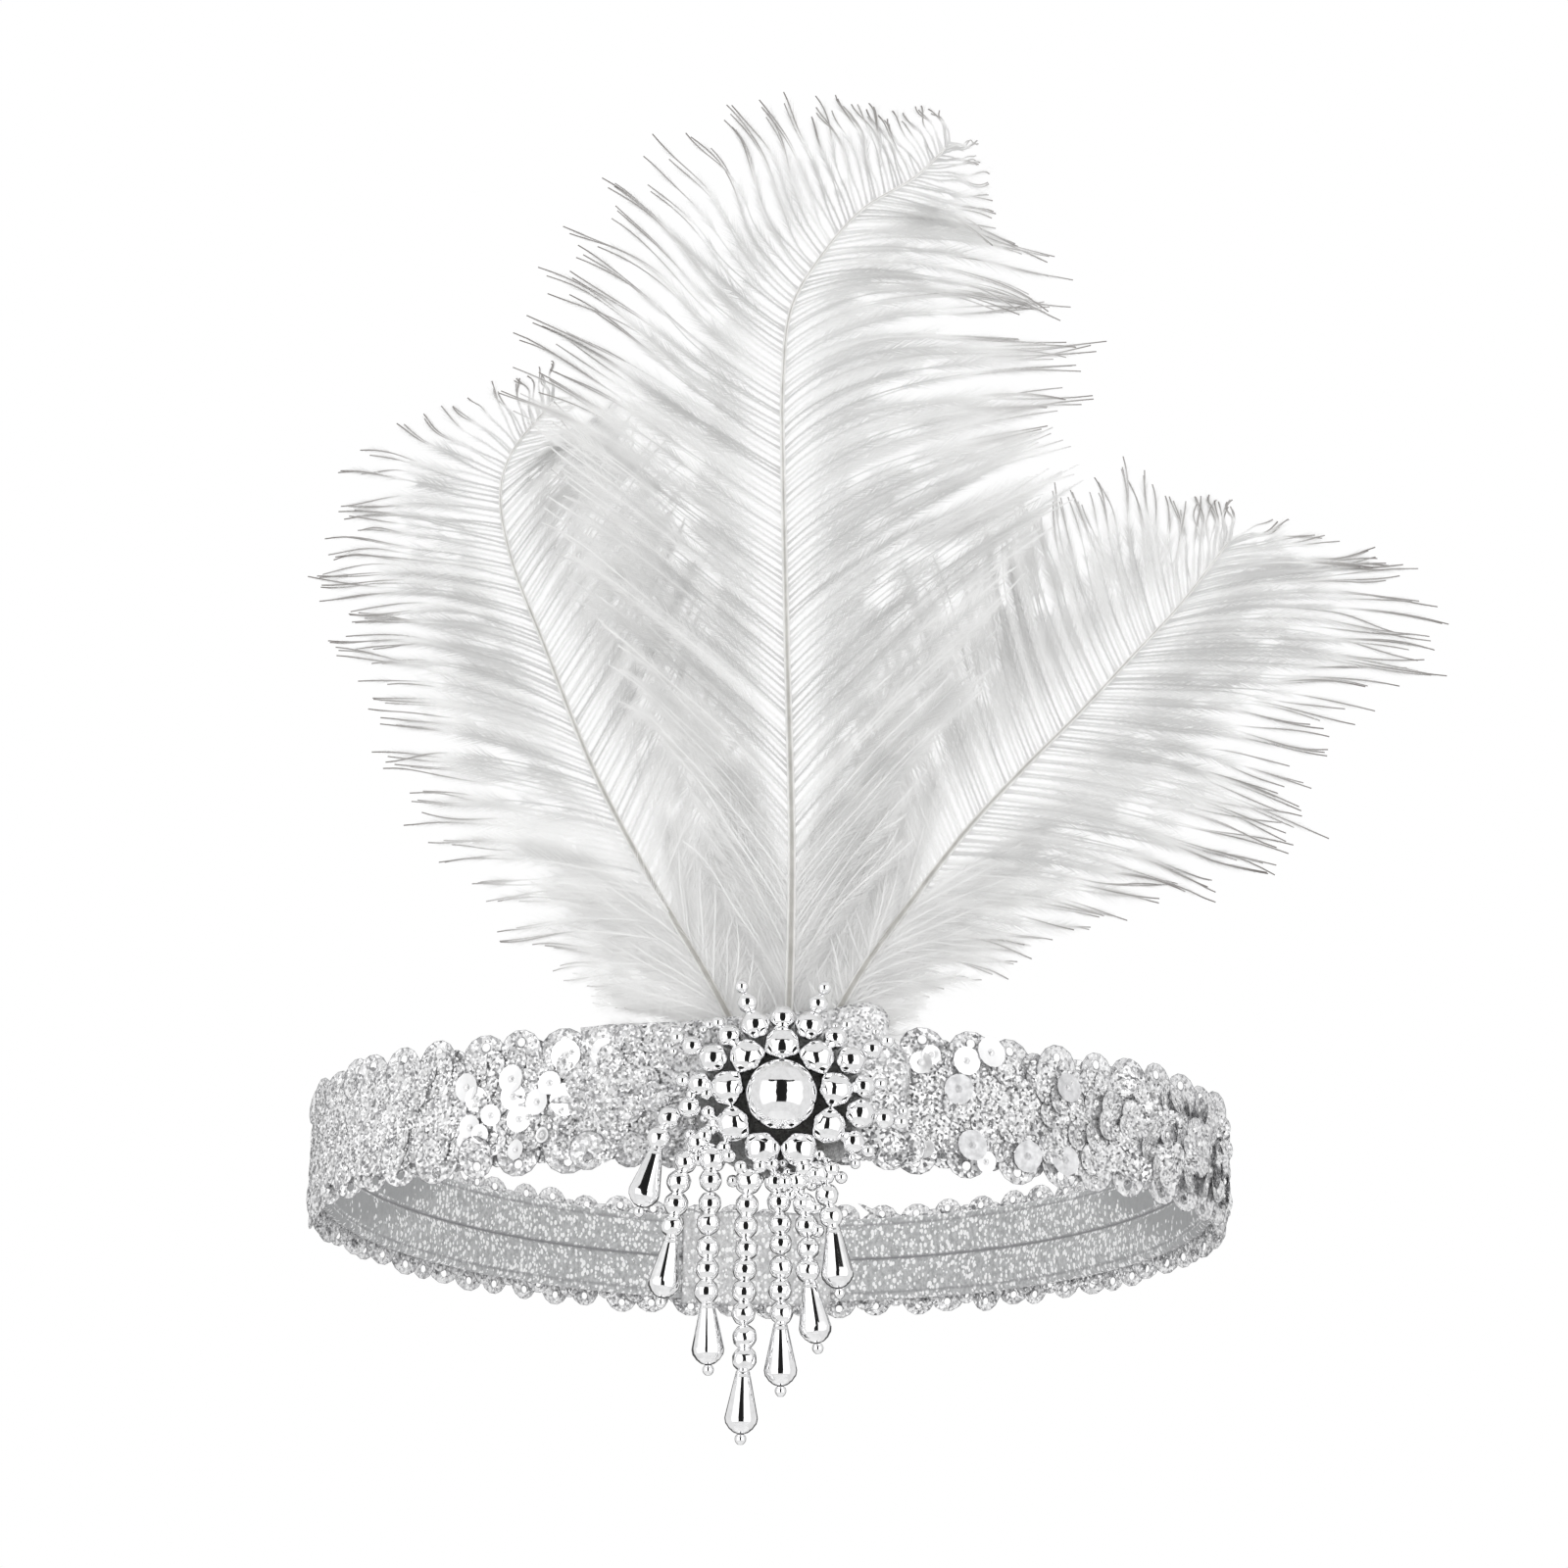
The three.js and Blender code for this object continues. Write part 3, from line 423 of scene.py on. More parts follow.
# The scallops get strong painted shade round their rims and the edges of their holes.
EDGE = glitter_material(
    "glitter_edge", (0.4, 0.4, 0.41), (0.97, 0.97, 0.975), 2200.0, 0.9, metallic=0.5, rim=0.95
)
MESH = glitter_material("glitter_mesh", (0.42, 0.42, 0.43), (0.97, 0.97, 0.975), 2600.0, 0.95, 0.35, 0.55)
SHINE = shine_material("sequin_bright", (0.94, 0.94, 0.95), (1.0, 1.0, 1.0), 0.5)
PALE = shine_material("sequin_pale", (0.55, 0.55, 0.56), (0.85, 0.85, 0.86), 0.3)
LINING = lining_material()
LAP = lining_material("lap_mesh", (0.46, 0.46, 0.465), (0.74, 0.74, 0.745), 0.22)
FELT = felt_material()
BEAD = bead_material()
DROP = bead_material("mirror_drop", 0.04, 0.04)
THREAD = thread_material()
BARB = barb_material()
QUILL = quill_material()


# Sequins

DISC_SIDES = 14
CUP = 0.04  # how high a disc's rim stands over its middle, as a share of its radius
HOLE_RADIUS = 0.55
OPEN_HOLE_RADIUS = 0.75
WIDEST_HOLE = 0.28  # share of its disc's radius
HOLE_RIM = 0.3
STITCH_SIDES = 6
STITCH = ((1.15, 0.05), (0.6, 0.32), (0.05, 0.4))  # its rings: share of the hole's radius, height


def sequins(parts, centres, normals, ups, radii, stitched=True, pierced=0.0):
    """Round cupped discs, one for each centre, with a hole or the stitch that fills it.

    pierced is how far up from the middle the hole is. The tone layer is 1 at the rims and the holes' edges,
    which get painted shade, 0 on the face and -1 on the stitch.
    """
    across = unit(np.cross(ups, normals))
    ups = np.cross(normals, across)
    count = len(centres)
    radii = np.broadcast_to(radii, (count,))

    def add_rings(profile, sides, tones):
        """Adds each disc's rings of points, given as radius and height for each ring."""
        angle = round_angles(sides)[None, :, None]
        way = np.cos(angle) * across[:, None, :] + np.sin(angle) * ups[:, None, :]
        made = []
        for radius, lift in profile:
            out = radius[:, None, None] * way
            shift = (pierced * (1 - radius / radii))[:, None, None] * ups[:, None, :]
            made.append(centres[:, None, :] + out + shift + lift[:, None, None] * normals[:, None, :])
        rings = len(profile)
        faces = grid_faces(rings, sides, wrap_columns=True)
        faces = (faces[None] + (np.arange(count) * rings * sides)[:, None, None]).reshape(-1, 4)
        parts.add(np.stack(made, 1), faces, np.tile(np.repeat(tones, sides), count))

    hole = np.minimum(HOLE_RADIUS if stitched else OPEN_HOLE_RADIUS, WIDEST_HOLE * radii)
    profile = [(hole, 0 * radii), (hole + HOLE_RIM, 0 * radii)]
    for share in (0.5, 0.9, 1.0):
        profile.append((share * radii, CUP * share**2 * radii))
    # Tone 1 at the edge of the hole and at the outer rim paints shade there.
    add_rings(profile, DISC_SIDES, [1.0, 0.2, 0.0, 0.1, 1.0])
    if stitched:
        knot = [(hole * wide, high + 0 * radii) for wide, high in STITCH]
        add_rings(knot, STITCH_SIDES, [-1.0] * len(STITCH))


def tilted(normals, rng, degrees):
    """Unit normals tipped at random about both tangents."""
    tip = rng.normal(0, 1, (len(normals), 2)) * np.radians(degrees)
    side = unit(np.cross(UP, normals))
    return unit(normals + tip[:, :1] * side + tip[:, 1:] * UP)


# Sequins whose glitter has worn off to a bright film, and some that keep half of it: place along the
# band's front from its middle, height, radius
BRIGHT_SEQUINS = [
    (-33.4, 7.0, 2.7), (-25.9, 6.6, 2.4), (-52.2, 3.1, 2.4), (-50.2, 1.0, 2.1), (-43.4, 3.8, 2.4),
    (-42.9, 0.8, 2.3), (-41.6, -3.0, 2.2), (-38.4, -0.4, 2.2), (-33.2, -0.3, 2.8), (-51.2, -3.7, 2.2),
    (-36.2, 2.6, 2.0), (-47.0, -2.0, 1.8), (-52.3, -5.6, 1.5), (-49.0, -4.9, 1.6), (-42.0, -8.0, 1.7),
    (-28.6, -6.8, 1.4), (-25.0, -6.5, 1.7), (-37.2, -5.9, 1.3), (37.1, 8.9, 2.6), (32.7, 7.1, 2.4),
    (24.8, 6.2, 1.9), (26.6, 7.6, 1.6), (25.2, -7.6, 1.9), (36.2, -9.2, 1.8),
]
PALE_SEQUINS = [(31.3, 2.3, 2.5), (52.1, 4.7, 2.5), (33.7, -6.7, 2.6), (43.8, -7.6, 2.6), (51.4, -7.4, 2.6)]
ROW_HEIGHTS = (-6.2, -3.1, 0.0, 3.1, 6.2)
ROW_PITCH = 3.8
ROW_RADIUS = (2.4, 2.95)
RUFFLED_FROM = 0.6  # sine of the turn where the rows start to stand ruffled, towards the band's right end
RUFFLED_OVER = 0.2
EDGE_PITCH = 8.3
EDGE_ROWS = ((0.0, 4.1, -0.3), (0.5, 2.9, 1.5))  # shift along the row in pitches, radius, inset
HOLE_INSET = 1.6  # from a scallop's outer rim to its hole
COVER_HEIGHTS = (-8.6, -5.2, -1.8, 1.6, 5.0, 8.6)
COVER_PITCH = 4.0
COVER_FROM = -33.0
COVER_RADIUS = 2.5
BROOCH_CLEAR = 12.0  # no disc of the patch stands nearer to the brooch's middle
HEM_PITCH = 6.6
HEM_SPAN = (-27.5, 20.0)
HEM_OFFSET = 3.35
ROW_LEAN = 0.15  # how far discs lean off the band at its far left and right
EDGE_LEAN = 0.35
HEM_ROWS = ((0.0, 3.3, -0.4), (0.5, 2.7, 0.9))

# Where the patch covers the band, right of the band's middle
PATCH_FROM = -31.5
PATCH_EASE = 8.0
PATCH_TO = 23.0
PATCH_MIDDLE = -4.0
PATCH_HALF_COVER = 25.0


def patch_rise(x):
    """0 left of the patch and 1 where it lies over the quills."""
    return smooth((x - PATCH_FROM) / PATCH_EASE)


def patch_lift(x):
    """How far a sequin stands off the band: over the patch where the patch covers it."""
    return 0.4 + (PATCH_OFFSET + 1.0) * patch_rise(x) * (x < PATCH_TO)


def clear_of_patch(turns):
    """True for the turns at which the patch doesn't cover the band."""
    aside = np.abs(np.sin(turns) * LOOP_HALF_WIDTH - PATCH_MIDDLE)
    return ~((np.cos(turns) > 0) & (aside < PATCH_HALF_COVER))


def leaning(normals, turns, most):
    """Normals of discs that lean off the band near its far left and right."""
    ends = smooth((np.abs(np.sin(turns)) - 0.6) / 0.3)
    return unit(normals + (most * ends * np.sign(np.cos(turns)))[:, None] * FORWARD)


def edge_row(parts, rng, turns, side, offset, size, inset=0.0):
    """Discs along one edge of the band that stick out of it in scallops."""
    radius = size * rng.uniform(0.85, 1.12, len(turns))
    z = side * (BAND_TOP - inset - radius - rng.uniform(-0.3, 0.5, len(turns)))
    centre = loop_point(turns, offset + rng.uniform(-0.15, 0.15, len(turns)), z)
    normal = leaning(tilted(loop_normal(turns), rng, 4.0), turns, EDGE_LEAN)
    sequins(parts, centre, normal, side * UP, radius, stitched=False, pierced=radius - HOLE_INSET)


def row_sequins(rng):
    """Rows of sequins over the face of the band, which stand ruffled at its right end."""
    rows = Parts()
    count = int(LOOP_ROUND / ROW_PITCH)
    for row, height in enumerate(ROW_HEIGHTS):
        place = (np.arange(count) + 0.5 * (row % 2)) * ROW_PITCH + rng.normal(0, 0.5, count)
        turn = turn_at(place)
        turn = turn[clear_of_patch(turn)]
        ruffled = smooth((np.sin(turn) - RUFFLED_FROM) / RUFFLED_OVER)
        lift = rng.uniform(0.05, 0.3, len(turn)) + 0.8 * ruffled
        centre = loop_point(turn, lift, height + rng.normal(0, 0.4, len(turn)))
        normal = leaning(tilted(loop_normal(turn), rng, 1.5 + 8 * ruffled[:, None]), turn, ROW_LEAN)
        askew = ruffled * rng.normal(0, 0.32, len(turn))
        normal = unit(normal + askew[:, None] * np.cross(UP, normal))
        up = unit(UP + rng.normal(0, 0.2, (len(turn), 3)))
        radius = rng.uniform(*ROW_RADIUS, len(turn)) * (1 - 0.2 * ruffled)
        sequins(rows, centre, normal, up, radius)
    rows.piece("sequin_rows", GLITTER, "sequin_trim")


def worn_sequins(rng, name, table, material):
    worn = Parts()
    along, height, radius = np.array(table).T
    turn = turn_at(along)
    lift = patch_lift(along) + 0.35 * rng.random(len(turn))
    centre = loop_point(turn, lift, height)
    normal = tilted(loop_normal(turn), rng, 6.0)
    sequins(worn, centre, normal, UP, radius)
    worn.piece(name, material, "sequin_trim")


def edge_sequins(rng):
    """Two rows of scallops along either edge of the band, the second one smaller and behind the first."""
    edge = Parts()
    count = int(LOOP_ROUND / EDGE_PITCH)
    for side in (-1, 1):
        for layer, (shift, size, inset) in enumerate(EDGE_ROWS):
            place = (np.arange(count) + shift + rng.normal(0, 0.09, count)) * LOOP_ROUND / count
            turn = turn_at(place)
            edge_row(edge, rng, turn[clear_of_patch(turn)], side, -0.3 - 0.5 * layer, size, inset)
    edge.piece("sequin_edges", EDGE, "sequin_trim")


def patch_sequins(rng):
    """Rows of sequins over the patch, apart from the brooch and the free corner at the top right."""
    cover = Parts()
    for row, height in enumerate(COVER_HEIGHTS):
        x = np.arange(COVER_FROM, PATCH_TO, COVER_PITCH)
        x = x + 0.5 * COVER_PITCH * (row % 2) + rng.normal(0, 0.5, len(x))
        away = np.hypot(x - BROOCH[0], height - BROOCH[2])
        x = x[(away > BROOCH_CLEAR) & (x < (-3 if height > 4 else 20))]
        turn = np.arcsin(x / LOOP_HALF_WIDTH)
        lift = patch_lift(x) + rng.uniform(0.0, 0.3, len(x))
        centre = loop_point(turn, lift, height + rng.normal(0, 0.5, len(x)))
        normal = tilted(loop_normal(turn), rng, 5.0)
        sequins(cover, centre, normal, UP, COVER_RADIUS)
    cover.piece("patch_sequins", GLITTER, "sequin_trim")


def patch_scallops(rng):
    hem = Parts()
    for shift, size, inset in HEM_ROWS:
        x = np.arange(*HEM_SPAN, HEM_PITCH) + HEM_PITCH * shift
        edge_row(hem, rng, np.arcsin(x / LOOP_HALF_WIDTH), -1, HEM_OFFSET - 0.5 * shift, size, inset)
    hem.piece("patch_scallops", EDGE, "sequin_trim")


def band_sequins(rng):
    row_sequins(rng)
    worn_sequins(rng, "sequins_worn_bright", BRIGHT_SEQUINS, SHINE)
    worn_sequins(rng, "sequins_worn_pale", PALE_SEQUINS, PALE)
    edge_sequins(rng)
    patch_sequins(rng)
    patch_scallops(rng)


SLIVER = [(19.3, 12.6), (20.6, 12.3), (22.6, 11.2), (25.0, 8.9), (22.6, 10.0), (20.8, 11.2)]


def sliver():
    """A loose shred of film that stands up from the top edge of the band at the back."""
    x, z = np.array(SLIVER).T
    turn = np.pi - np.arcsin(x / LOOP_HALF_WIDTH)
    curl = 0.25 * np.sin(x)
    outer = loop_point(turn, 0.25 + curl, z)
    inner = loop_point(turn, 0.05 + curl, z)
    corners = len(SLIVER)
    faces = [np.arange(corners)[None], (np.arange(corners)[::-1] + corners)[None]]
    ring = np.arange(corners)
    rim = np.stack([np.roll(ring, -1), ring, ring + corners, np.roll(ring, -1) + corners], -1)
    make_piece("sliver", np.concatenate([outer, inner]), [*faces, rim], EDGE)


# Band, lining and lapped end

NET_INSET = 0.7
LINING_WALL = 0.8
WELT_RISE = 0.9
LINING_HEM = 0.84  # where the lining's hems lie, as a share of its half height
SMOOTH_ENDS = 0.86  # sine of the turn beyond which the lining shows no dots of glitter and gets painted shade

def wall_round(profile_of, turns):
    """A closed wall round the loop. profile_of(turn) gives offsets and heights of its section."""
    rows = []
    for turn in turns:
        offsets, heights = profile_of(turn)
        rows.append(loop_point(np.full(len(offsets), turn), offsets, heights))
    points = np.array(rows)
    return points.reshape(-1, 3), grid_faces(len(turns), points.shape[1], True, True)


def band_net():
    """The stretch net that the sequins are sewn on."""
    turns = even_turns(460)
    half = CORE_HEIGHT / 2 - NET_INSET
    along = np.linspace(0, 1, 17)

    def profile(turn):
        z = half * (2 * along - 1)
        puff = 0.12 * np.sin(turn * 140 + 3 * z) + 0.08 * np.sin(turn * 63 - z)
        front = -0.1 + puff * np.sin(np.pi * along) - 0.7 * (2 * along - 1) ** 8
        offsets = np.concatenate([front, [-1.5, -1.5]])
        heights = np.concatenate([z, [half - 0.3, -half + 0.3]])
        return offsets, heights

    points, faces = wall_round(profile, turns)
    piece = make_piece("band_net", points, faces, NET, ["sequin_band"])


def lining():
    """Two soft welts with a groove between them, puckered along their seams."""
    turns = even_turns(520)
    half = LINING_HEIGHT / 2
    share = np.linspace(-1, 1, 61)

    def profile(turn):
        groove = np.abs(share)
        hem = 1 - 0.35 * np.exp(-(((groove - LINING_HEM) / 0.04) ** 2))
        welt = np.sin(np.pi * np.clip(groove, 0, 1)) ** 0.45 * hem
        pucker = 0.12 * np.sin(turn * 210 + 2.2 * share) * (1 - 0.6 * groove)
        inner = LINING_OFFSET - 0.75 - (0.95 + pucker) * welt
        offsets = np.concatenate([inner, [LINING_OFFSET, LINING_OFFSET]])
        heights = np.concatenate([half * share, [half, -half]])
        return offsets, heights

    points, faces = wall_round(profile, turns)
    # Tone 1 paints shade along the groove and the hems; -1 takes the dots off and paints shade at the ends
    # of the loop.
    hems = np.exp(-(((np.abs(share) - LINING_HEM) / 0.04) ** 2))
    seam_shade = 0.9 * np.exp(-((share / 0.05) ** 2)) + 0.7 * hems
    plain_shaded_end = -smooth((np.abs(np.sin(turns))[:, None] + 0.08 * share[None] - SMOOTH_ENDS) / 0.08)
    tone = np.where(seam_shade[None] > 0.1, seam_shade[None], plain_shaded_end)
    tone = np.concatenate([tone, np.zeros((len(turns), 2))], 1)
    layers = {"tone": tone.ravel()}
    piece = make_piece(
        "lining_knit", points, faces[:, ::-1], LINING, ["elastic_lining"], layers=layers
    )


LAP_WIDTH = 34.0
LAP_HEIGHT = 20.0
LAP_MIDDLE = -2.5


def lapped_end():
    """The smooth end of the trim, lapped over the groove of the lining at the back."""
    outer = LINING_OFFSET - LINING_WALL - WELT_RISE - GAP
    u, v = np.meshgrid(np.linspace(-1, 1, 61), np.linspace(-1, 1, 25), indexing="ij")
    x = LAP_MIDDLE + 0.5 * LAP_WIDTH * u
    turn = np.pi - np.arcsin(x / LOOP_HALF_WIDTH)
    z = 0.5 * LAP_HEIGHT * v * (1 - 0.02 * np.cos(9 * u))
    round_edge = (1 - np.abs(u) ** 3) * (1 - np.abs(v) ** 10)
    ripple = 0.1 * np.sin(13 * u + 4 * v) + 0.08 * np.sin(31 * u - 6 * v)
    inner = loop_point(turn, outer - 0.25 - (0.7 + ripple) * round_edge, z)
    points, faces = two_faced(inner, loop_point(turn, outer + 0 * z, z))
    # Painted shade along its top and bottom edges, where they taper down to the lining.
    layers = {"tone": np.tile(smooth((np.abs(v.ravel()) - 0.9) / 0.08) * 0.6, 2)}
    piece = make_piece("lapped_mesh", points, faces, LAP, ["lapped_end"], layers=layers)


def two_faced(face, back, outward=False):
    """Points and faces of a sheet from its two grids of points. outward is for a face off the loop."""
    rows, columns = face.shape[:2]
    count = rows * columns
    quads = grid_faces(rows, columns)
    index = np.arange(count).reshape(rows, columns)
    ring = np.concatenate([index[:-1, 0], index[-1, :-1], index[:0:-1, -1], index[0, :0:-1]])
    rim = np.stack([ring, np.roll(ring, -1), np.roll(ring, -1) + count, ring + count], -1)
    near, far = (quads[:, ::-1], quads) if outward else (quads, quads[:, ::-1])
    points = np.concatenate([face.reshape(-1, 3), back.reshape(-1, 3)])
    return points, np.concatenate([near, far + count, rim])


# Patch and felt

PATCH_TOP = [(-30.5, 11.5), (-22.9, 11.3), (-12.8, 11.4), (0.0, 12.8), (9.3, 13.6), (13.6, 14.9)]
PATCH_TOP += [(15.5, 15.2)]
PATCH_RIGHT = [(15.5, 15.2), (17.7, 14.6), (19.1, 12.7), (18.8, 10.6), (19.8, 8.9), (21.3, 7.7), (22.5, 4.9)]
PATCH_RIGHT += [(21.8, -2.0), (21.5, -8.0)]
PATCH_BOTTOM = [(-28.0, -10.2), (-12.0, -10.3), (0.0, -10.3), (15.5, -10.2), (21.5, -8.0)]
PATCH_LEFT = [(-30.5, 11.5), (-30.0, 2.0), (-29.2, -7.5), (-28.0, -10.2)]
PATCH_WIDTH = 53.0
PATCH_LOW = 24.0  # its height where it is lowest
PATCH_SWELL = 0.75
PATCH_COLUMNS = 90
PATCH_ROWS = 44


def patch():
    """Glitter mesh that lies over the quills, in one piece with its free corner at the top right."""
    top = along_line(PATCH_TOP, PATCH_COLUMNS)
    bottom = along_line(PATCH_BOTTOM, PATCH_COLUMNS)
    left = along_line(PATCH_LEFT, PATCH_ROWS)[::-1]
    right = along_line(PATCH_RIGHT, PATCH_ROWS)[::-1]
    u = np.linspace(0, 1, PATCH_COLUMNS)[:, None, None]
    v = np.linspace(0, 1, PATCH_ROWS)[None, :, None]
    flat = (1 - v) * bottom[:, None] + v * top[:, None] + (1 - u) * left[None] + u * right[None]
    corners = (1 - u) * (1 - v) * bottom[0] + (1 - u) * v * top[0]
    corners = corners + u * (1 - v) * bottom[-1] + u * v * top[-1]
    x, z = np.moveaxis(flat - corners, -1, 0)
    turn = np.arcsin(x / LOOP_HALF_WIDTH)
    from_side = np.minimum(u, 1 - u)[..., 0] * PATCH_WIDTH
    from_end = np.minimum(v, 1 - v)[..., 0] * PATCH_LOW
    edge = np.minimum(from_side, from_end)
    swell = PATCH_SWELL * smooth(edge / 1.6)
    folds = 0.12 * np.sin(0.9 * x + 0.3 * z) + 0.1 * np.sin(0.35 * x - 1.1 * z)
    lift = PATCH_OFFSET * patch_rise(x)
    front = loop_point(turn, lift + 0.35 + swell + folds * smooth(edge / 3), z)
    points, faces = two_faced(front, loop_point(turn, lift + 0.05 + 0 * z, z), outward=True)
    piece = make_piece("patch_mesh", points, faces, MESH, ["quill_patch"])


FELT_HALF_WIDTH = 13.8
FELT_HALF_HEIGHT = 12.2
FELT_SIDES = 96
FELT_DUST_FROM = 7.2

# From the middle of the felt's face to its rim and back: share of its half width, height off the face
FELT_SECTION = [(0.02, 0.0), (0.25, 0.02), (0.5, 0.05), (0.6, 0.04), (0.7, 0.03), (0.78, 0.02), (0.85, 0.0)]
FELT_SECTION += [(0.92, -0.1), (0.97, -0.25), (1.0, -0.7), (0.97, -1.3), (0.02, -1.4)]


def felt():
    """Oval of felt with a soft uneven rim, dusty outside the beads."""
    rng = np.random.default_rng(11)
    angle = round_angles(FELT_SIDES)
    wobble = 1 + 0.015 * np.sin(5 * angle + 1) + 0.012 * rng.normal(0, 1, FELT_SIDES)
    rings = []
    for share, out in FELT_SECTION:
        x = FELT_HALF_WIDTH * share * np.cos(angle) * wobble
        z = FELT_HALF_HEIGHT * share * np.sin(angle) * wobble
        rings.append(BROOCH + np.stack([x, 0 * x - out, z], -1))
    points = np.array(rings).reshape(-1, 3)
    faces = grid_faces(len(rings), FELT_SIDES, wrap_columns=True)
    side, _, up = (points - BROOCH).T
    away = np.hypot(side, up) - 0.2 * side + 0.05 * up
    layers = {"tone": smooth((away - FELT_DUST_FROM) / 2.4)}
    make_piece("felt_oval", points, faces, FELT, ["felt_backing"], layers=layers)


# Beads

def about(axis):
    """An axis as a unit vector, and two more at right angles to it."""
    axis = unit(np.asarray(axis, float))
    side = unit(np.cross(axis, FORWARD if abs(axis @ FORWARD) < 0.9 else UP))
    return axis, side, np.cross(axis, side)


def bead_directions(axis):
    """Facet normals of a round bead cut in three rows of eight about its hole."""
    axis, side, other = about(axis)
    normals = [axis, -axis]
    for lift, shift in ((-0.75, 0.5), (0.0, 0.0), (0.75, 0.5)):
        for k in range(8):
            a = (k + shift) * np.pi / 4
            normals.append(unit(side * np.cos(a) + other * np.sin(a) + lift * axis))
    return np.array(normals)


BEAD_POWER = 40.0  # how sharp the edges between a bead's facets are


def ball(centre, axis, diameter, crisp, sides, rows):
    """A round bead about an axis. crisp is how far its facets flatten it, from 0 for a plain ball."""
    axis, side, other = about(axis)
    polar = np.linspace(0.02, np.pi - 0.02, rows)[:, None]
    angle = round_angles(sides)[None, :]
    way = (
        np.cos(polar)[..., None] * axis
        + (np.sin(polar) * np.cos(angle))[..., None] * side
        + (np.sin(polar) * np.sin(angle))[..., None] * other
    )
    if crisp > 0:
        facing = np.clip(way @ bead_directions(axis).T, 0, 1)
        cut = (facing**BEAD_POWER).sum(-1) ** (-1 / BEAD_POWER)
        cut = cut / cut.mean()
        radius = diameter / 2 * (1 + crisp * (cut - 1))
    else:
        radius = np.full(way.shape[:2], diameter / 2)
    points = centre + way * radius[..., None]
    faces = grid_faces(rows, sides, wrap_columns=True)
    caps = [np.arange(sides)[::-1], np.arange(sides) + (rows - 1) * sides]
    lids = [np.stack([np.full(sides - 2, c[0]), c[1:-1], c[2:]], -1) for c in caps]
    return points.reshape(-1, 3), [faces[:, ::-1], np.concatenate(lids)]


def tube(parts, line, radii, sides, tone=0.0, toward=FORWARD + 0.01):
    """A round tube along points of a line. Its rings start at right angles to the direction toward."""
    line = np.asarray(line, float)
    radii = np.broadcast_to(radii, (len(line),))
    along = unit(np.gradient(line, axis=0))
    aside = unit(np.cross(along, toward))
    other = np.cross(along, aside)
    angle = round_angles(sides)[None, :, None]
    ring = np.cos(angle) * aside[:, None] + np.sin(angle) * other[:, None]
    points = line[:, None] + ring * radii[:, None, None]
    parts.add(points, grid_faces(len(line), sides, wrap_columns=True)[:, ::-1], tone)


BEAD_CUT = 0.65  # how far the facets of the beads flatten them
BEAD_PLUMP = 1.13  # how much wider they are drawn, over their flattened faces
FINE_BEAD = (32, 20)  # sides and rows of the mesh of a bead
SMALL_BEAD = (12, 8)
SEED_BEAD = (14, 9)
SEED_CUT = 0.7
RING_BEADS = 9
RING_START = 90.0
RING_DIAMETER = 5.2
BEAD_GAP = 0.35
RING_GAP = 1.6 * BEAD_GAP
RING_RADIUS = (RING_DIAMETER + RING_GAP) / (2 * math.sin(math.pi / RING_BEADS))
CENTRE_DIAMETER = 11.2
LONG_RAY = (4.2, 2.9)
SHORT_RAY = 3.4
LONG_RAYS = (-2.5, -1.5, -0.5, 0.5, 1.5)
SHORT_RAYS = (-3, -2, -1, 0, 1, 2)
BARE_RAY = 0  # the short ray without a seed bead at its end
BARE_RAY_SWELL = 1.08
LONG_RAY_AWAY = 0.5
LONG_SEED = (2.8, 2.0)  # from the bead before it, diameter
SHORT_SEED = (1.15, 1.9)
THREAD_RADIUS = 0.28


def ring_angle(place):
    return RING_START + 360.0 * place / RING_BEADS


def brooch_point(radius, angle, out):
    a = math.radians(angle)
    return BROOCH + np.array([radius * math.cos(a), -out, radius * math.sin(a)])


def clear_of_ring(diameter, place):
    aside = abs(place - round(place)) * math.radians(360 / RING_BEADS)
    apart = (RING_DIAMETER + diameter) / 2 + BEAD_GAP
    return RING_RADIUS * math.cos(aside) + math.sqrt(apart**2 - (RING_RADIUS * math.sin(aside)) ** 2)


def bead_piece(name, beads, threads=()):
    """One piece of beads, each (centre, axis, diameter), with threads given as lines."""
    parts = Parts()
    for centre, axis, diameter in beads:
        mesh = FINE_BEAD if diameter > 2.5 else SMALL_BEAD
        parts.add(*ball(centre, axis, BEAD_PLUMP * diameter, BEAD_CUT, *mesh))
    parts.piece(name + "_bright", BEAD, "mirror_bead", [name])
    if threads:
        strands = Parts()
        for line in threads:
            tube(strands, line, THREAD_RADIUS, 6)
        strands.piece(name + "_thread", THREAD, "mirror_bead")


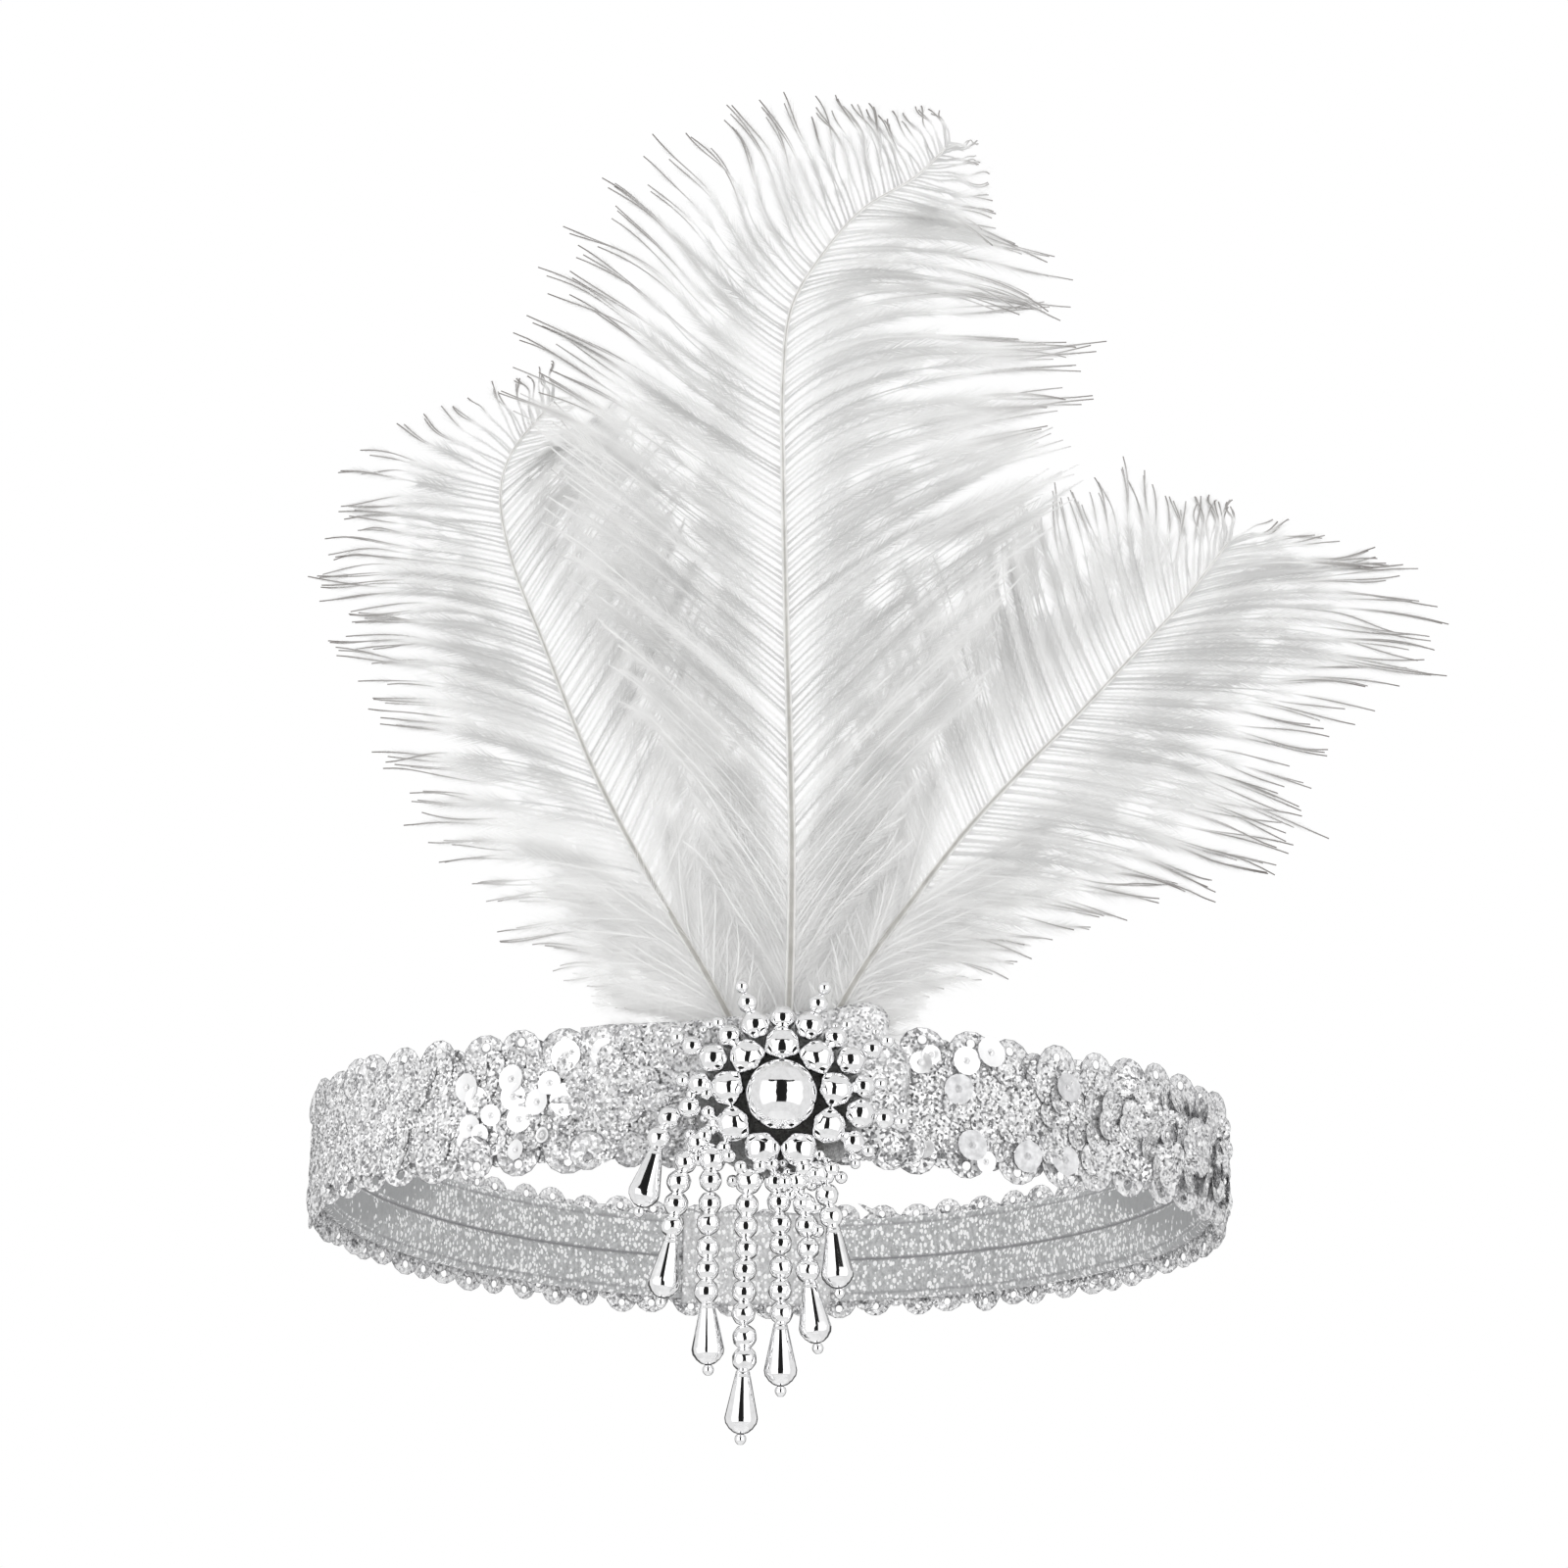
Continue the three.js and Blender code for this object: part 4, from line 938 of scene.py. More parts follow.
def brooch():
    centre = brooch_point(0, 0, GAP + CENTRE_DIAMETER / 2)
    parts = Parts()
    parts.add(*ball(centre, FORWARD, CENTRE_DIAMETER, 0.0, 48, 32))
    parts.piece("centre_bead_bright", BEAD, "mirror_bead", ["centre_bead"])
    for i in range(RING_BEADS):
        at = brooch_point(RING_RADIUS, ring_angle(i), GAP + RING_DIAMETER / 2)
        bead_piece(f"ring_bead_{i + 1}", [(at, at - BROOCH, RING_DIAMETER)])
    for i, place in enumerate(LONG_RAYS):
        inner, outer = LONG_RAY
        angle = ring_angle(place)
        radius = clear_of_ring(inner, place) + LONG_RAY_AWAY
        second_radius = radius + (inner + outer) / 2 + BEAD_GAP
        radii = (radius, second_radius, second_radius + LONG_SEED[0])
        first, second, seed = (brooch_point(r, angle, GAP + inner / 2) for r in radii)
        way = second - first
        beads = [(first, way, inner), (second, way, outer), (seed, way, LONG_SEED[1])]
        bead_piece(f"long_ray_{i + 1}", beads, [np.linspace(first, seed, 6)])
    for i, place in enumerate(SHORT_RAYS):
        angle = ring_angle(place)
        radius = clear_of_ring(SHORT_RAY, place)
        out = GAP + SHORT_RAY / 2
        first = brooch_point(radius, angle, out)
        seed = brooch_point(radius + SHORT_RAY / 2 + SHORT_SEED[0], angle, out)
        way = seed - first
        if place == BARE_RAY:
            bead_piece(f"short_ray_{i + 1}", [(first, way, SHORT_RAY * BARE_RAY_SWELL)])
        else:
            beads = [(first, way, SHORT_RAY), (seed, way, SHORT_SEED[1])]
            bead_piece(f"short_ray_{i + 1}", beads, [np.linspace(first, seed, 4)])


# Seed beads in the tangle round the ring: right of the brooch's middle, above it, off the felt, diameter
SEEDS = [
    (-0.7, 11.0, 2.6, 1.7), (6.1, -8.7, 1.6, 2.1), (7.4, -9.6, 1.4, 1.6), (8.4, 12.1, 1.4, 1.3),
    (-11.6, 12.0, 1.4, 1.7), (-10.6, 12.4, 1.6, 1.5), (-12.6, 11.2, 1.2, 1.3), (-12.0, 2.4, 1.6, 2.2),
    (-11.8, 0.9, 1.8, 2.6), (-14.2, 0.7, 1.5, 1.8), (-12.1, -3.0, 1.2, 1.6), (-14.2, -5.8, 1.4, 2.2),
    (-12.0, -6.0, 2.2, 2.8), (-8.8, -7.8, 2.0, 2.6), (-15.6, -9.6, 1.6, 2.4), (-1.3, -10.3, 2.6, 2.6),
    (0.4, -10.0, 1.4, 1.7), (1.1, -11.5, 1.6, 1.8), (-3.4, -12.6, 1.6, 1.9), (1.6, -15.0, 1.8, 1.9),
    (2.9, -14.5, 1.6, 2.0), (7.3, -12.0, 1.8, 2.6), (5.0, -13.4, 1.6, 2.0), (11.8, -9.9, 1.4, 1.7),
    (11.2, -8.9, 1.2, 1.4), (14.9, 2.6, 1.4, 1.6), (15.6, 3.2, 1.2, 1.4), (-17.2, 7.6, 1.3, 1.5),
    (-18.2, 8.5, 1.2, 1.5), (14.9, 11.3, 1.3, 1.4), (13.8, 12.2, 1.2, 1.2), (19.3, -1.4, 1.2, 1.7),
    (-8.0, -9.4, 3.4, 2.3), (-13.8, -7.4, 1.6, 2.5), (-6.2, -11.0, 3.2, 2.2), (-3.2, -10.9, 3.6, 2.3),
    (-11.0, -4.9, 1.6, 2.4), (3.6, -11.1, 3.4, 2.5), (5.5, -11.9, 3.0, 2.2), (5.6, -17.2, 2.4, 2.0),
    (3.3, -16.6, 3.2, 2.3), (8.0, -10.9, 2.2, 2.6), (-9.9, -10.6, 2.6, 2.2), (0.7, -13.3, 3.4, 2.4),
    (-11.4, -2.2, 1.6, 2.6), (-10.2, -3.9, 1.6, 2.8), (-10.9, -8.3, 2.0, 2.6), (-9.3, -9.4, 2.2, 2.2),
    (-7.4, -13.0, 1.6, 2.0), (-12.9, -9.6, 1.6, 2.2), (9.6, -12.2, 1.8, 2.0), (6.0, -20.6, 1.8, 2.2),
]


def seeds(rng):
    """Small beads that the ring's threads pass through, in no order."""
    parts = Parts()
    for side, up, out, size in SEEDS:
        centre = BROOCH + np.array([side, -out, up])
        parts.add(*ball(centre, rng.normal(0, 1, 3), size, SEED_CUT, *SEED_BEAD))
    parts.piece("seed_beads", BEAD, "mirror_bead")


# Strings from left to right: first bead's place right of and below the brooch's middle, its diameter,
# number of beads, slants of the first step and of the teardrop in degrees from straight down, turn of the
# teardrop's faces, and how crisply they are cut
STRINGS = [
    (-14.6, 1.4, 3.0, 3, -58, -14, 4, 0.7),
    (-12.9, 7.2, 2.9, 5, -36, -8, -13, 0.8),
    (-10.7, 9.6, 3.6, 7, -3, 2, -13, 0.8),
    (-5.0, 13.1, 3.6, 9, -2, -1, 0, 0.1),
    (-0.9, 12.7, 2.9, 7, 12, 1, 0, 0.1),
    (2.7, 13.2, 2.9, 5, 18, 8, 12, 0.8),
    (5.7, 11.9, 3.3, 3, 30, 6, 22.5, 0.3),
]
STRING_BEAD = 3.05
STRING_PITCH = 3.45
STRING_SETTLE = 0.45
DROP_LENGTH = 9.7
DROP_DIAMETER = 5.2
DROP_SIDES = 40
DROP_POWER = 60  # how sharp the edges between a teardrop's faces are
TIP_BEAD = 1.6  # the small bead below each teardrop


def slanting(degrees):
    return np.array([math.sin(math.radians(degrees)), 0.0, -math.cos(math.radians(degrees))])


DROP_SECTION = [(0.0, 0.3), (0.02, 0.4), (0.1, 0.47), (0.76, 1.0), (0.85, 0.93), (0.94, 0.66), (0.99, 0.42)]
DROP_SECTION += [(1.0, 0.2)]


def drop(top, along, turn, crisp):
    """A teardrop that widens evenly from its top, cut more or less crisply into eight long faces."""
    corners = np.array(DROP_SECTION)
    share = np.unique(np.concatenate([np.linspace(0, 1, 30), corners[:, 0]]))
    wide = np.interp(share, corners[:, 0], corners[:, 1])
    soft = np.convolve(np.pad(wide, 1, mode="edge"), [0.2, 0.6, 0.2], mode="valid")
    radius = DROP_DIAMETER / 2 * soft
    aside = unit(np.cross(along, FORWARD))
    other = np.cross(along, aside)
    angle = round_angles(DROP_SIDES)
    facets = np.arange(8) * np.pi / 4 + math.radians(turn)
    facing = np.clip(np.cos(angle[:, None] + np.pi / 2 - facets[None, :]), 0, 1)
    cut = (facing**DROP_POWER).sum(-1) ** (-1 / DROP_POWER)
    ring = 1 + crisp * (cut / cut.max() - 1)
    out = np.cos(angle)[:, None] * aside + np.sin(angle)[:, None] * other
    middle = top + (share * DROP_LENGTH)[:, None, None] * along
    points = middle + radius[:, None, None] * ring[None, :, None] * out
    faces = grid_faces(len(share), DROP_SIDES, wrap_columns=True)[:, ::-1]
    return points.reshape(-1, 3), faces


def strings(rng):
    for number, (side, down, first, count, slant, drop_slant, turn, crisp) in enumerate(STRINGS, 1):
        centres = [BROOCH + np.array([side, -GAP - first / 2, -down])]
        for _ in range(count - 1):
            centres.append(centres[-1] + STRING_PITCH * slanting(slant))
            slant *= STRING_SETTLE
        centres = np.array(centres)
        along = slanting(drop_slant)
        ways = np.gradient(centres, axis=0) + rng.normal(0, 1.2, centres.shape)
        sizes = [first + 0.2] + list(STRING_BEAD + rng.uniform(0.1, 0.4, len(centres) - 1))
        nudge = rng.normal(0, 0.12, centres.shape)
        beads = list(zip(centres + nudge, ways, sizes))
        top = centres[-1] + along * (STRING_BEAD / 2 + 0.1)
        tip = top + along * (DROP_LENGTH + TIP_BEAD / 2)
        beads.append((tip, along, TIP_BEAD))
        thread = np.concatenate([centres, [top, tip]])
        bead_piece(f"bead_string_{number}", beads, [thread])
        points, faces = drop(top, along, turn, crisp)
        make_piece(f"bead_string_{number}_drop", points, faces, DROP)


# Plumes, as in the CAD model. height and barb are in millimetres, and points of the rachis are up, right and
# forward of the foot in shares of the height. A row of a vane is a share of the way up it, the barbs' length
# there in shares of barb, and their angle from the rachis at the root, half way out and at the tip. grey,
# parting and reach give at shares of the way up how grey the tips are, where the locks part and how far
# they reach. pale makes a vane whiter, as painted light where it lies behind the centre plume, against the
# shade there, and veil is how far back its down may lie.
CENTRE_PLUME = {
    "foot_x": 3.2, "tuck_x": 3.4, "height": 148.8, "barb": 51.5, "droop": 0.05, "vane_foot": 0.02,
    "seed": 3, "barbs": 146, "locks": 92, "slits": 150, "veil": 0.3,
    "grey_left": [(0.0, 0.2), (0.35, 0.4), (0.5, 1.0), (1.0, 1.0)],
    "grey_right": [(0.0, 0.1), (0.35, 0.3), (0.5, 0.9), (1.0, 0.8)],
    "parting_left": [(0.0, 1.1), (0.35, 0.95), (0.5, 0.65), (0.65, 0.38), (0.8, 0.28), (1.0, 0.35)],
    "parting_right": [(0.0, 1.1), (0.35, 0.95), (0.5, 0.75), (0.65, 0.6), (1.0, 0.5)],
    "reach_left": [(0.0, 1.0), (0.1, 1.2), (0.4, 1.14), (0.55, 1.1), (0.75, 1.18), (1.0, 1.2)],
    "reach_right": [(0.0, 1.0), (0.1, 1.2), (0.35, 1.22), (0.5, 1.1), (0.65, 1.05), (1.0, 1.05)],
    "rachis": [
        (0.087, 0.001, 0.008), (0.206, 0.0, 0.017), (0.429, -0.009, 0.032), (0.623, -0.016, 0.042),
        (0.733, -0.018, 0.048), (0.821, -0.009, 0.056), (0.88, 0.024, 0.067), (0.931, 0.07, 0.083),
        (0.966, 0.13, 0.097), (1.0, 0.169, 0.114),
    ],
    "left": [
        (0.0, 0.5, 22, 25, 30), (0.1, 0.66, 34, 38, 44), (0.28, 0.84, 44, 46, 52), (0.46, 0.98, 54, 50, 60),
        (0.57, 0.92, 58, 50, 66), (0.7, 0.74, 60, 38, 56), (0.8, 0.6, 80, 48, 78), (0.86, 0.43, 62, 60, 78),
        (0.95, 0.22, 80, 86, 94), (1.0, 0.12, 50, 60, 70),
    ],
    "right": [
        (0.0, 0.5, 22, 25, 30), (0.1, 0.73, 36, 40, 46), (0.3, 0.98, 44, 50, 56), (0.46, 0.96, 46, 66, 72),
        (0.56, 1.07, 44, 80, 86), (0.66, 0.98, 43, 90, 94), (0.75, 0.83, 42, 78, 84),
        (0.83, 0.71, 38, 58, 68), (0.9, 0.44, 38, 47, 58), (0.96, 0.2, 36, 40, 44), (1.0, 0.08, 30, 34, 40),
    ],
}
LEFT_PLUME = {
    "foot_x": -6.2, "tuck_x": -1.2, "height": 108.6, "barb": 40.0, "droop": 0.12, "vane_foot": 0.0,
    "seed": 5, "barbs": 118, "locks": 72, "slits": 110, "veil": 1.2,
    "grey_left": [(0.0, 0.6), (0.3, 1.0), (1.0, 1.0)],
    "grey_right": [(0.0, 0.0), (1.0, 0.0)], "pale_right": 0.4,
    "parting_left": [(0.0, 0.75), (0.4, 0.6), (0.7, 0.45), (1.0, 0.35)],
    "parting_right": [(0.0, 1.1), (1.0, 1.0)],
    "reach_left": [(0.0, 1.0), (0.5, 1.04), (0.75, 1.12), (1.0, 1.15)],
    "reach_right": [(0.0, 1.1), (0.3, 1.4), (0.7, 1.35), (0.85, 1.15), (1.0, 1.0)],
    "rachis": [
        (0.074, -0.04, -0.007), (0.16, -0.091, -0.016), (0.38, -0.211, -0.035), (0.595, -0.3, -0.048),
        (0.756, -0.363, -0.052), (0.857, -0.381, -0.05), (0.919, -0.366, -0.043), (1.0, -0.298, -0.011),
    ],
    "left": [
        (0.0, 0.5, 54, 59, 62), (0.12, 0.8, 48, 53, 58), (0.3, 0.99, 44, 52, 56), (0.5, 0.97, 41, 52, 70),
        (0.64, 0.89, 45, 61, 62), (0.77, 0.68, 62, 66, 76), (0.84, 0.6, 78, 81, 84), (0.9, 0.3, 76, 72, 70),
        (1.0, 0.14, 46, 50, 54),
    ],
    "right": [
        (0.0, 0.3, 46, 44, 42), (0.14, 0.6, 50, 47, 44), (0.4, 0.76, 52, 49, 45), (0.7, 0.72, 50, 52, 50),
        (0.84, 0.6, 46, 50, 53), (0.9, 0.4, 42, 46, 52), (0.95, 0.16, 40, 44, 50), (1.0, 0.08, 38, 42, 48),
    ],
}
RIGHT_PLUME = {
    "foot_x": 10.4, "tuck_x": 7.2, "height": 86.1, "barb": 50.0, "droop": 0.12, "vane_foot": 0.02,
    "seed": 8, "barbs": 124, "locks": 78, "slits": 110, "veil": 1.2,
    "grey_left": [(0.0, 0.0), (0.55, 0.2), (0.75, 0.8), (1.0, 1.0)], "pale_left": 0.2,
    "grey_right": [(0.0, 0.5), (0.3, 1.0), (1.0, 1.0)],
    "parting_left": [(0.0, 1.1), (0.5, 1.0), (0.75, 0.6), (1.0, 0.4)],
    "parting_right": [(0.0, 0.85), (0.4, 0.6), (1.0, 0.4)],
    "reach_left": [(0.0, 1.1), (0.3, 1.35), (0.6, 1.25), (0.8, 1.15), (1.0, 1.1)],
    "reach_right": [(0.0, 1.0), (0.5, 1.05), (0.8, 1.1), (1.0, 1.1)],
    "rachis": [
        (0.105, 0.054, -0.014), (0.245, 0.147, -0.033), (0.396, 0.256, -0.049), (0.516, 0.36, -0.056),
        (0.633, 0.47, -0.06), (0.766, 0.588, -0.059), (0.861, 0.672, -0.058), (1.0, 0.777, -0.044),
    ],
    "left": [
        (0.0, 0.2, 50, 50, 50), (0.2, 0.54, 56, 52, 50), (0.4, 0.68, 62, 55, 50), (0.6, 0.67, 68, 55, 50),
        (0.74, 0.6, 66, 53, 52), (0.81, 0.55, 60, 48, 56), (0.87, 0.37, 48, 34, 40),
        (0.93, 0.28, 32, 34, 40), (1.0, 0.12, 24, 28, 34),
    ],
    "right": [
        (0.0, 0.24, 50, 56, 60), (0.1, 0.46, 50, 58, 62), (0.25, 0.72, 54, 58, 60), (0.42, 1.0, 52, 57, 57),
        (0.56, 0.88, 51, 55, 57), (0.66, 0.78, 48, 54, 56), (0.74, 0.98, 42, 49, 53),
        (0.81, 0.93, 32, 51, 57), (0.88, 0.72, 33, 48, 40), (0.95, 0.5, 38, 54, 38),
        (1.0, 0.16, 26, 30, 30),
    ],
}
PLUMES = {"plume_centre": CENTRE_PLUME, "plume_left": LEFT_PLUME, "plume_right": RIGHT_PLUME}


RACHIS_POINTS = 400
SPAN_STEPS = 24  # steps of the curve between two corners, before it is respaced


def curve_through(corners):
    """A smooth curve through points, evenly respaced by length."""
    p = np.asarray(corners, float)
    p = np.concatenate([[2 * p[0] - p[1]], p, [2 * p[-1] - p[-2]]])
    line = []
    for a, b, c, d in zip(p, p[1:], p[2:], p[3:]):
        t0 = 0.0
        t1 = t0 + np.linalg.norm(b - a) ** 0.5
        t2 = t1 + np.linalg.norm(c - b) ** 0.5
        t3 = t2 + np.linalg.norm(d - c) ** 0.5
        t = np.linspace(t1, t2, SPAN_STEPS, endpoint=False)[:, None]
        ab = (t1 - t) / (t1 - t0) * a + (t - t0) / (t1 - t0) * b
        bc = (t2 - t) / (t2 - t1) * b + (t - t1) / (t2 - t1) * c
        cd = (t3 - t) / (t3 - t2) * c + (t - t2) / (t3 - t2) * d
        abc = (t2 - t) / (t2 - t0) * ab + (t - t0) / (t2 - t0) * bc
        bcd = (t3 - t) / (t3 - t1) * bc + (t - t1) / (t3 - t1) * cd
        line.append((t2 - t) / (t2 - t1) * abc + (t - t1) / (t2 - t1) * bcd)
    return along_line(np.concatenate(line + [p[-2:-1]]), RACHIS_POINTS)


def rachis_line(plume):
    foot_y = loop_front_y(plume["foot_x"]) - QUILL_SLOT / 2
    tuck_y = loop_front_y(plume["tuck_x"]) - QUILL_SLOT / 2
    corners = [(plume["tuck_x"], tuck_y, BAND_TOP - QUILL_TUCK), (plume["foot_x"], foot_y, BAND_TOP)]
    for up, side, forward in plume["rachis"]:
        x = plume["foot_x"] + side * plume["height"]
        corners.append((x, foot_y - forward * plume["height"], BAND_TOP + up * plume["height"]))
    return curve_through(corners)


STEPS = 40  # points along a barb's path
DOWN_SUNK = 9.0  # how far down behind the patch the lowest barbs grow
BARBULE = 4.6  # longest barbule
BARBULE_STEP = 0.15  # how far apart they stand along a barb
LOCK_PULL = 0.78  # how far a barb is drawn to the middle of its lock
SHORTEST_BARB = 0.84  # share of its lock's length
DOWN_BARBS = 42
DOWN_TOP = 22.0  # how high the down grows on the rachis


def barb_paths(plume, line, side, at, stretch, bend, lean=0.0, sunk=0.0):
    """Paths of barbs that leave the rachis at shares of the vane. side is 1 for the left vane.

    sunk is how far below the top of the band the first barb grows.
    """
    rows = np.array(plume["left" if side > 0 else "right"], float)
    length, leave, mid, end = (np.interp(at, rows[:, 0], rows[:, c]) for c in (1, 2, 3, 4))
    length = plume["barb"] * length * stretch
    first = np.argmax(line[:, 2] >= BAND_TOP + plume["vane_foot"] * plume["height"] - sunk)
    index = first + np.clip(at, 0, 1) * (len(line) - 1 - first)
    root = read_off(index, np.arange(len(line)), line)
    tangent = np.gradient(line, axis=0)
    heading = np.unwrap(np.arctan2(tangent[:, 2], tangent[:, 0]))
    heading = np.interp(index, np.arange(len(line)), heading)
    v = (np.arange(STEPS) + 0.5) / STEPS
    turned_by = np.where(
        v[None] < 0.5,
        leave[:, None] + (mid - leave)[:, None] * 2 * v,
        mid[:, None] + (end - mid)[:, None] * (2 * v - 1),
    )
    turned_by = turned_by + np.reshape(lean, (-1, 1)) + bend[:, None] * v[None] ** 2
    angle = heading[:, None] + side * np.radians(turned_by)
    step = length[:, None] / STEPS
    x = root[:, :1] + np.concatenate([0 * step, np.cumsum(np.cos(angle) * step, 1)], 1)
    z = root[:, 2:] + np.concatenate([0 * step, np.cumsum(np.sin(angle) * step, 1)], 1)
    out = np.linspace(0, 1, STEPS + 1)[None]
    follow = np.maximum(0, 1 - (z - BAND_TOP) / DRAPE_HEIGHT)
    y = root[:, 1:2] + follow * (loop_front_y(x) - loop_front_y(root[:, :1]))
    y = y + plume["droop"] * length[:, None] * out**2
    return np.stack([x, y, z], -1), length


WAVES = (2.3, 5.1, 11.7)


def wander(rng, at):
    """A smooth random curve along the vane, between about -1 and 1."""
    total = sum(np.sin(2 * np.pi * wave * at + rng.uniform(0, 2 * np.pi)) for wave in WAVES)
    return total / len(WAVES) ** 0.5


def swayed(paths, rng, most):
    """Paths bent to and fro in the plane of the vane, more towards their free ends."""
    across = np.cross(unit(np.gradient(paths, axis=1)), FORWARD)
    out = np.linspace(0, 1, paths.shape[1])[None, :]
    count = len(paths)
    sway = np.sin(out * rng.uniform(4, 9, (count, 1)) + rng.uniform(0, 2 * np.pi, (count, 1)))
    return paths + most * (out**1.5 * sway)[..., None] * across


def denser_up(share):
    """Places along the rachis that stand closer together towards its tip."""
    return 1 - (1 - share) ** 1.2


def slits(rng, count, number):
    """How full each barb's barbules are along it, less where a slit opens between two barbs."""
    out = np.linspace(0, 1, STEPS + 1)
    cover = np.ones((count, STEPS + 1))
    for _ in range(number):
        barb_at = rng.integers(0, count - 1)
        middle = rng.uniform(0.3, 0.85)
        half = rng.uniform(0.04, 0.09)
        opened = 1 - 0.9 * smooth(2 - 2 * np.abs(out - middle) / half)
        for i in (barb_at, barb_at + 1):
            cover[i] = np.minimum(cover[i], opened)
    return cover


def value_up(plume, key, at):
    """Reads one of a plume's tables at shares of the way up the vane."""
    return np.interp(at, *np.array(plume[key], float).T)


def vane_locks(plume, line, side, word, rng):
    """Places, stretches, bends, lifts, shades and paths of a vane's locks."""
    count = plume["locks"]
    at = denser_up((np.arange(count) + 0.5 + rng.uniform(-0.5, 0.5, count)) / count)
    reach = value_up(plume, "reach_" + word, at)
    stretch = reach * (1 + 0.04 * wander(rng, at) + rng.normal(0, 0.05, count))
    bend = 5 * wander(rng, at) + rng.normal(0, 4, count)
    lift = rng.normal(0, 0.4, count)
    # pale adds painted light to a vane that lies behind the centre plume, lifting the shade there.
    shade = 0.4 + plume.get("pale_" + word, 0.0) + rng.normal(0, 0.15, count)
    path, _ = barb_paths(plume, line, side, at, stretch, bend)
    return at, stretch, bend, lift, shade, swayed(path, rng, 1.3)


def drawn_together(path, lock_path, ratio, parts_at):
    """Paths of barbs pulled towards their locks' paths, more so out to where the locks part."""
    along_lock = np.linspace(0, 1, STEPS + 1)[None, :] * ratio[:, None]
    spot = along_lock * STEPS
    low = np.minimum(spot.astype(int), STEPS - 1)
    share = (spot - low)[..., None]
    rows = np.arange(len(path))[:, None]
    target = lock_path[rows, low] * (1 - share) + lock_path[rows, low + 1] * share
    start = 0.3 * parts_at[:, None]
    pull = LOCK_PULL * smooth((along_lock - start) / (0.85 * parts_at[:, None] + 0.1))
    return path + pull[..., None] * (target - path)


def vane(plume, line, side, rng):
    """One vane: barbs drawn together in locks that part towards its edge, each barb with its barbules."""
    word = "left" if side > 0 else "right"
    locks = vane_locks(plume, line, side, word, rng)
    lock_at, lock_stretch, lock_bend, lock_lift, lock_shade, lock_path = locks
    count = plume["barbs"]
    at = denser_up(np.sort((np.arange(count) + rng.uniform(-0.3, 0.3, count) + 0.5) / count))
    owner = np.argmin(np.abs(at[:, None] - lock_at[None]), 1)
    parts_at = value_up(plume, "parting_" + word, lock_at) + 0.08 - rng.exponential(0.13, len(lock_at))
    parts_at = np.clip(parts_at[owner] + rng.normal(0, 0.03, count), 0.22, 1.2)
    grey = value_up(plume, "grey_" + word, at)
    ratio = SHORTEST_BARB + (1 - SHORTEST_BARB) * rng.random(count) ** 0.7
    bend = lock_bend[owner] + rng.normal(0, 3, count)
    path, length = barb_paths(plume, line, side, at, lock_stretch[owner] * ratio, bend)
    path = drawn_together(path, lock_path[owner], ratio, parts_at)
    out = np.linspace(0, 1, STEPS + 1)[None, :]
    wave = np.sin(out * rng.uniform(3, 8, (count, 1)) + rng.uniform(0, 6, (count, 1)))
    path[..., 0] += 0.3 * wave * out
    path[..., 2] += 0.3 * np.cos(2 * wave) * out
    lift = lock_lift[owner][:, None] + rng.normal(0, 0.35, (count, 1))
    path[..., 1] += lift * smooth(out / 0.4)
    height = path[:, 0, 2] - BAND_TOP
    # Barbs are painted whiter towards the foot: painted light against the shade of the many layers there.
    shade = lock_shade[owner] + rng.normal(0, 0.3, count) + 0.6 * smooth(1.3 - height / 35)
    cover = slits(rng, count, plume["slits"])
    parts = Parts()
    for i in range(count):
        combed = float(smooth((height[i] - 8) / 30))
        look = (combed, np.clip(shade[i], 0, 1), grey[i])
        barb(parts, path[i], length[i], ratio[i], parts_at[i], look, cover[i], rng)
    down(parts, plume, line, side, rng)
    return parts


def down(parts, plume, line, side, rng):
    """Soft barbs low on the rachis that stand closer to it and fill the foot of the plume."""
    count = DOWN_BARBS
    at = DOWN_TOP / plume["height"] * np.linspace(0.0, 1.0, count) ** 1.6
    leave = plume["left" if side > 0 else "right"][0][2]
    lean = -0.65 * leave * np.linspace(0, 1, count) + rng.normal(0, 5, count)
    stretch = rng.uniform(0.8, 1.1, count)
    path, length = barb_paths(plume, line, side, at, stretch, rng.normal(4, 4, count), lean, DOWN_SUNK)
    path = swayed(path, rng, 0.8)
    out = np.linspace(0, 1, STEPS + 1)
    # The down is white, and set to the whitest tone as painted light against the shade of its many layers.
    look = (0.0, 1.0, 0.0)
    for i in range(count):
        path[i, :, 1] += rng.uniform(-plume["veil"], 0.6) * smooth(out / 0.2)
        barb(parts, path[i], length[i], rng.uniform(0.8, 0.95), 0.95, look, 1 + 0 * out, rng)


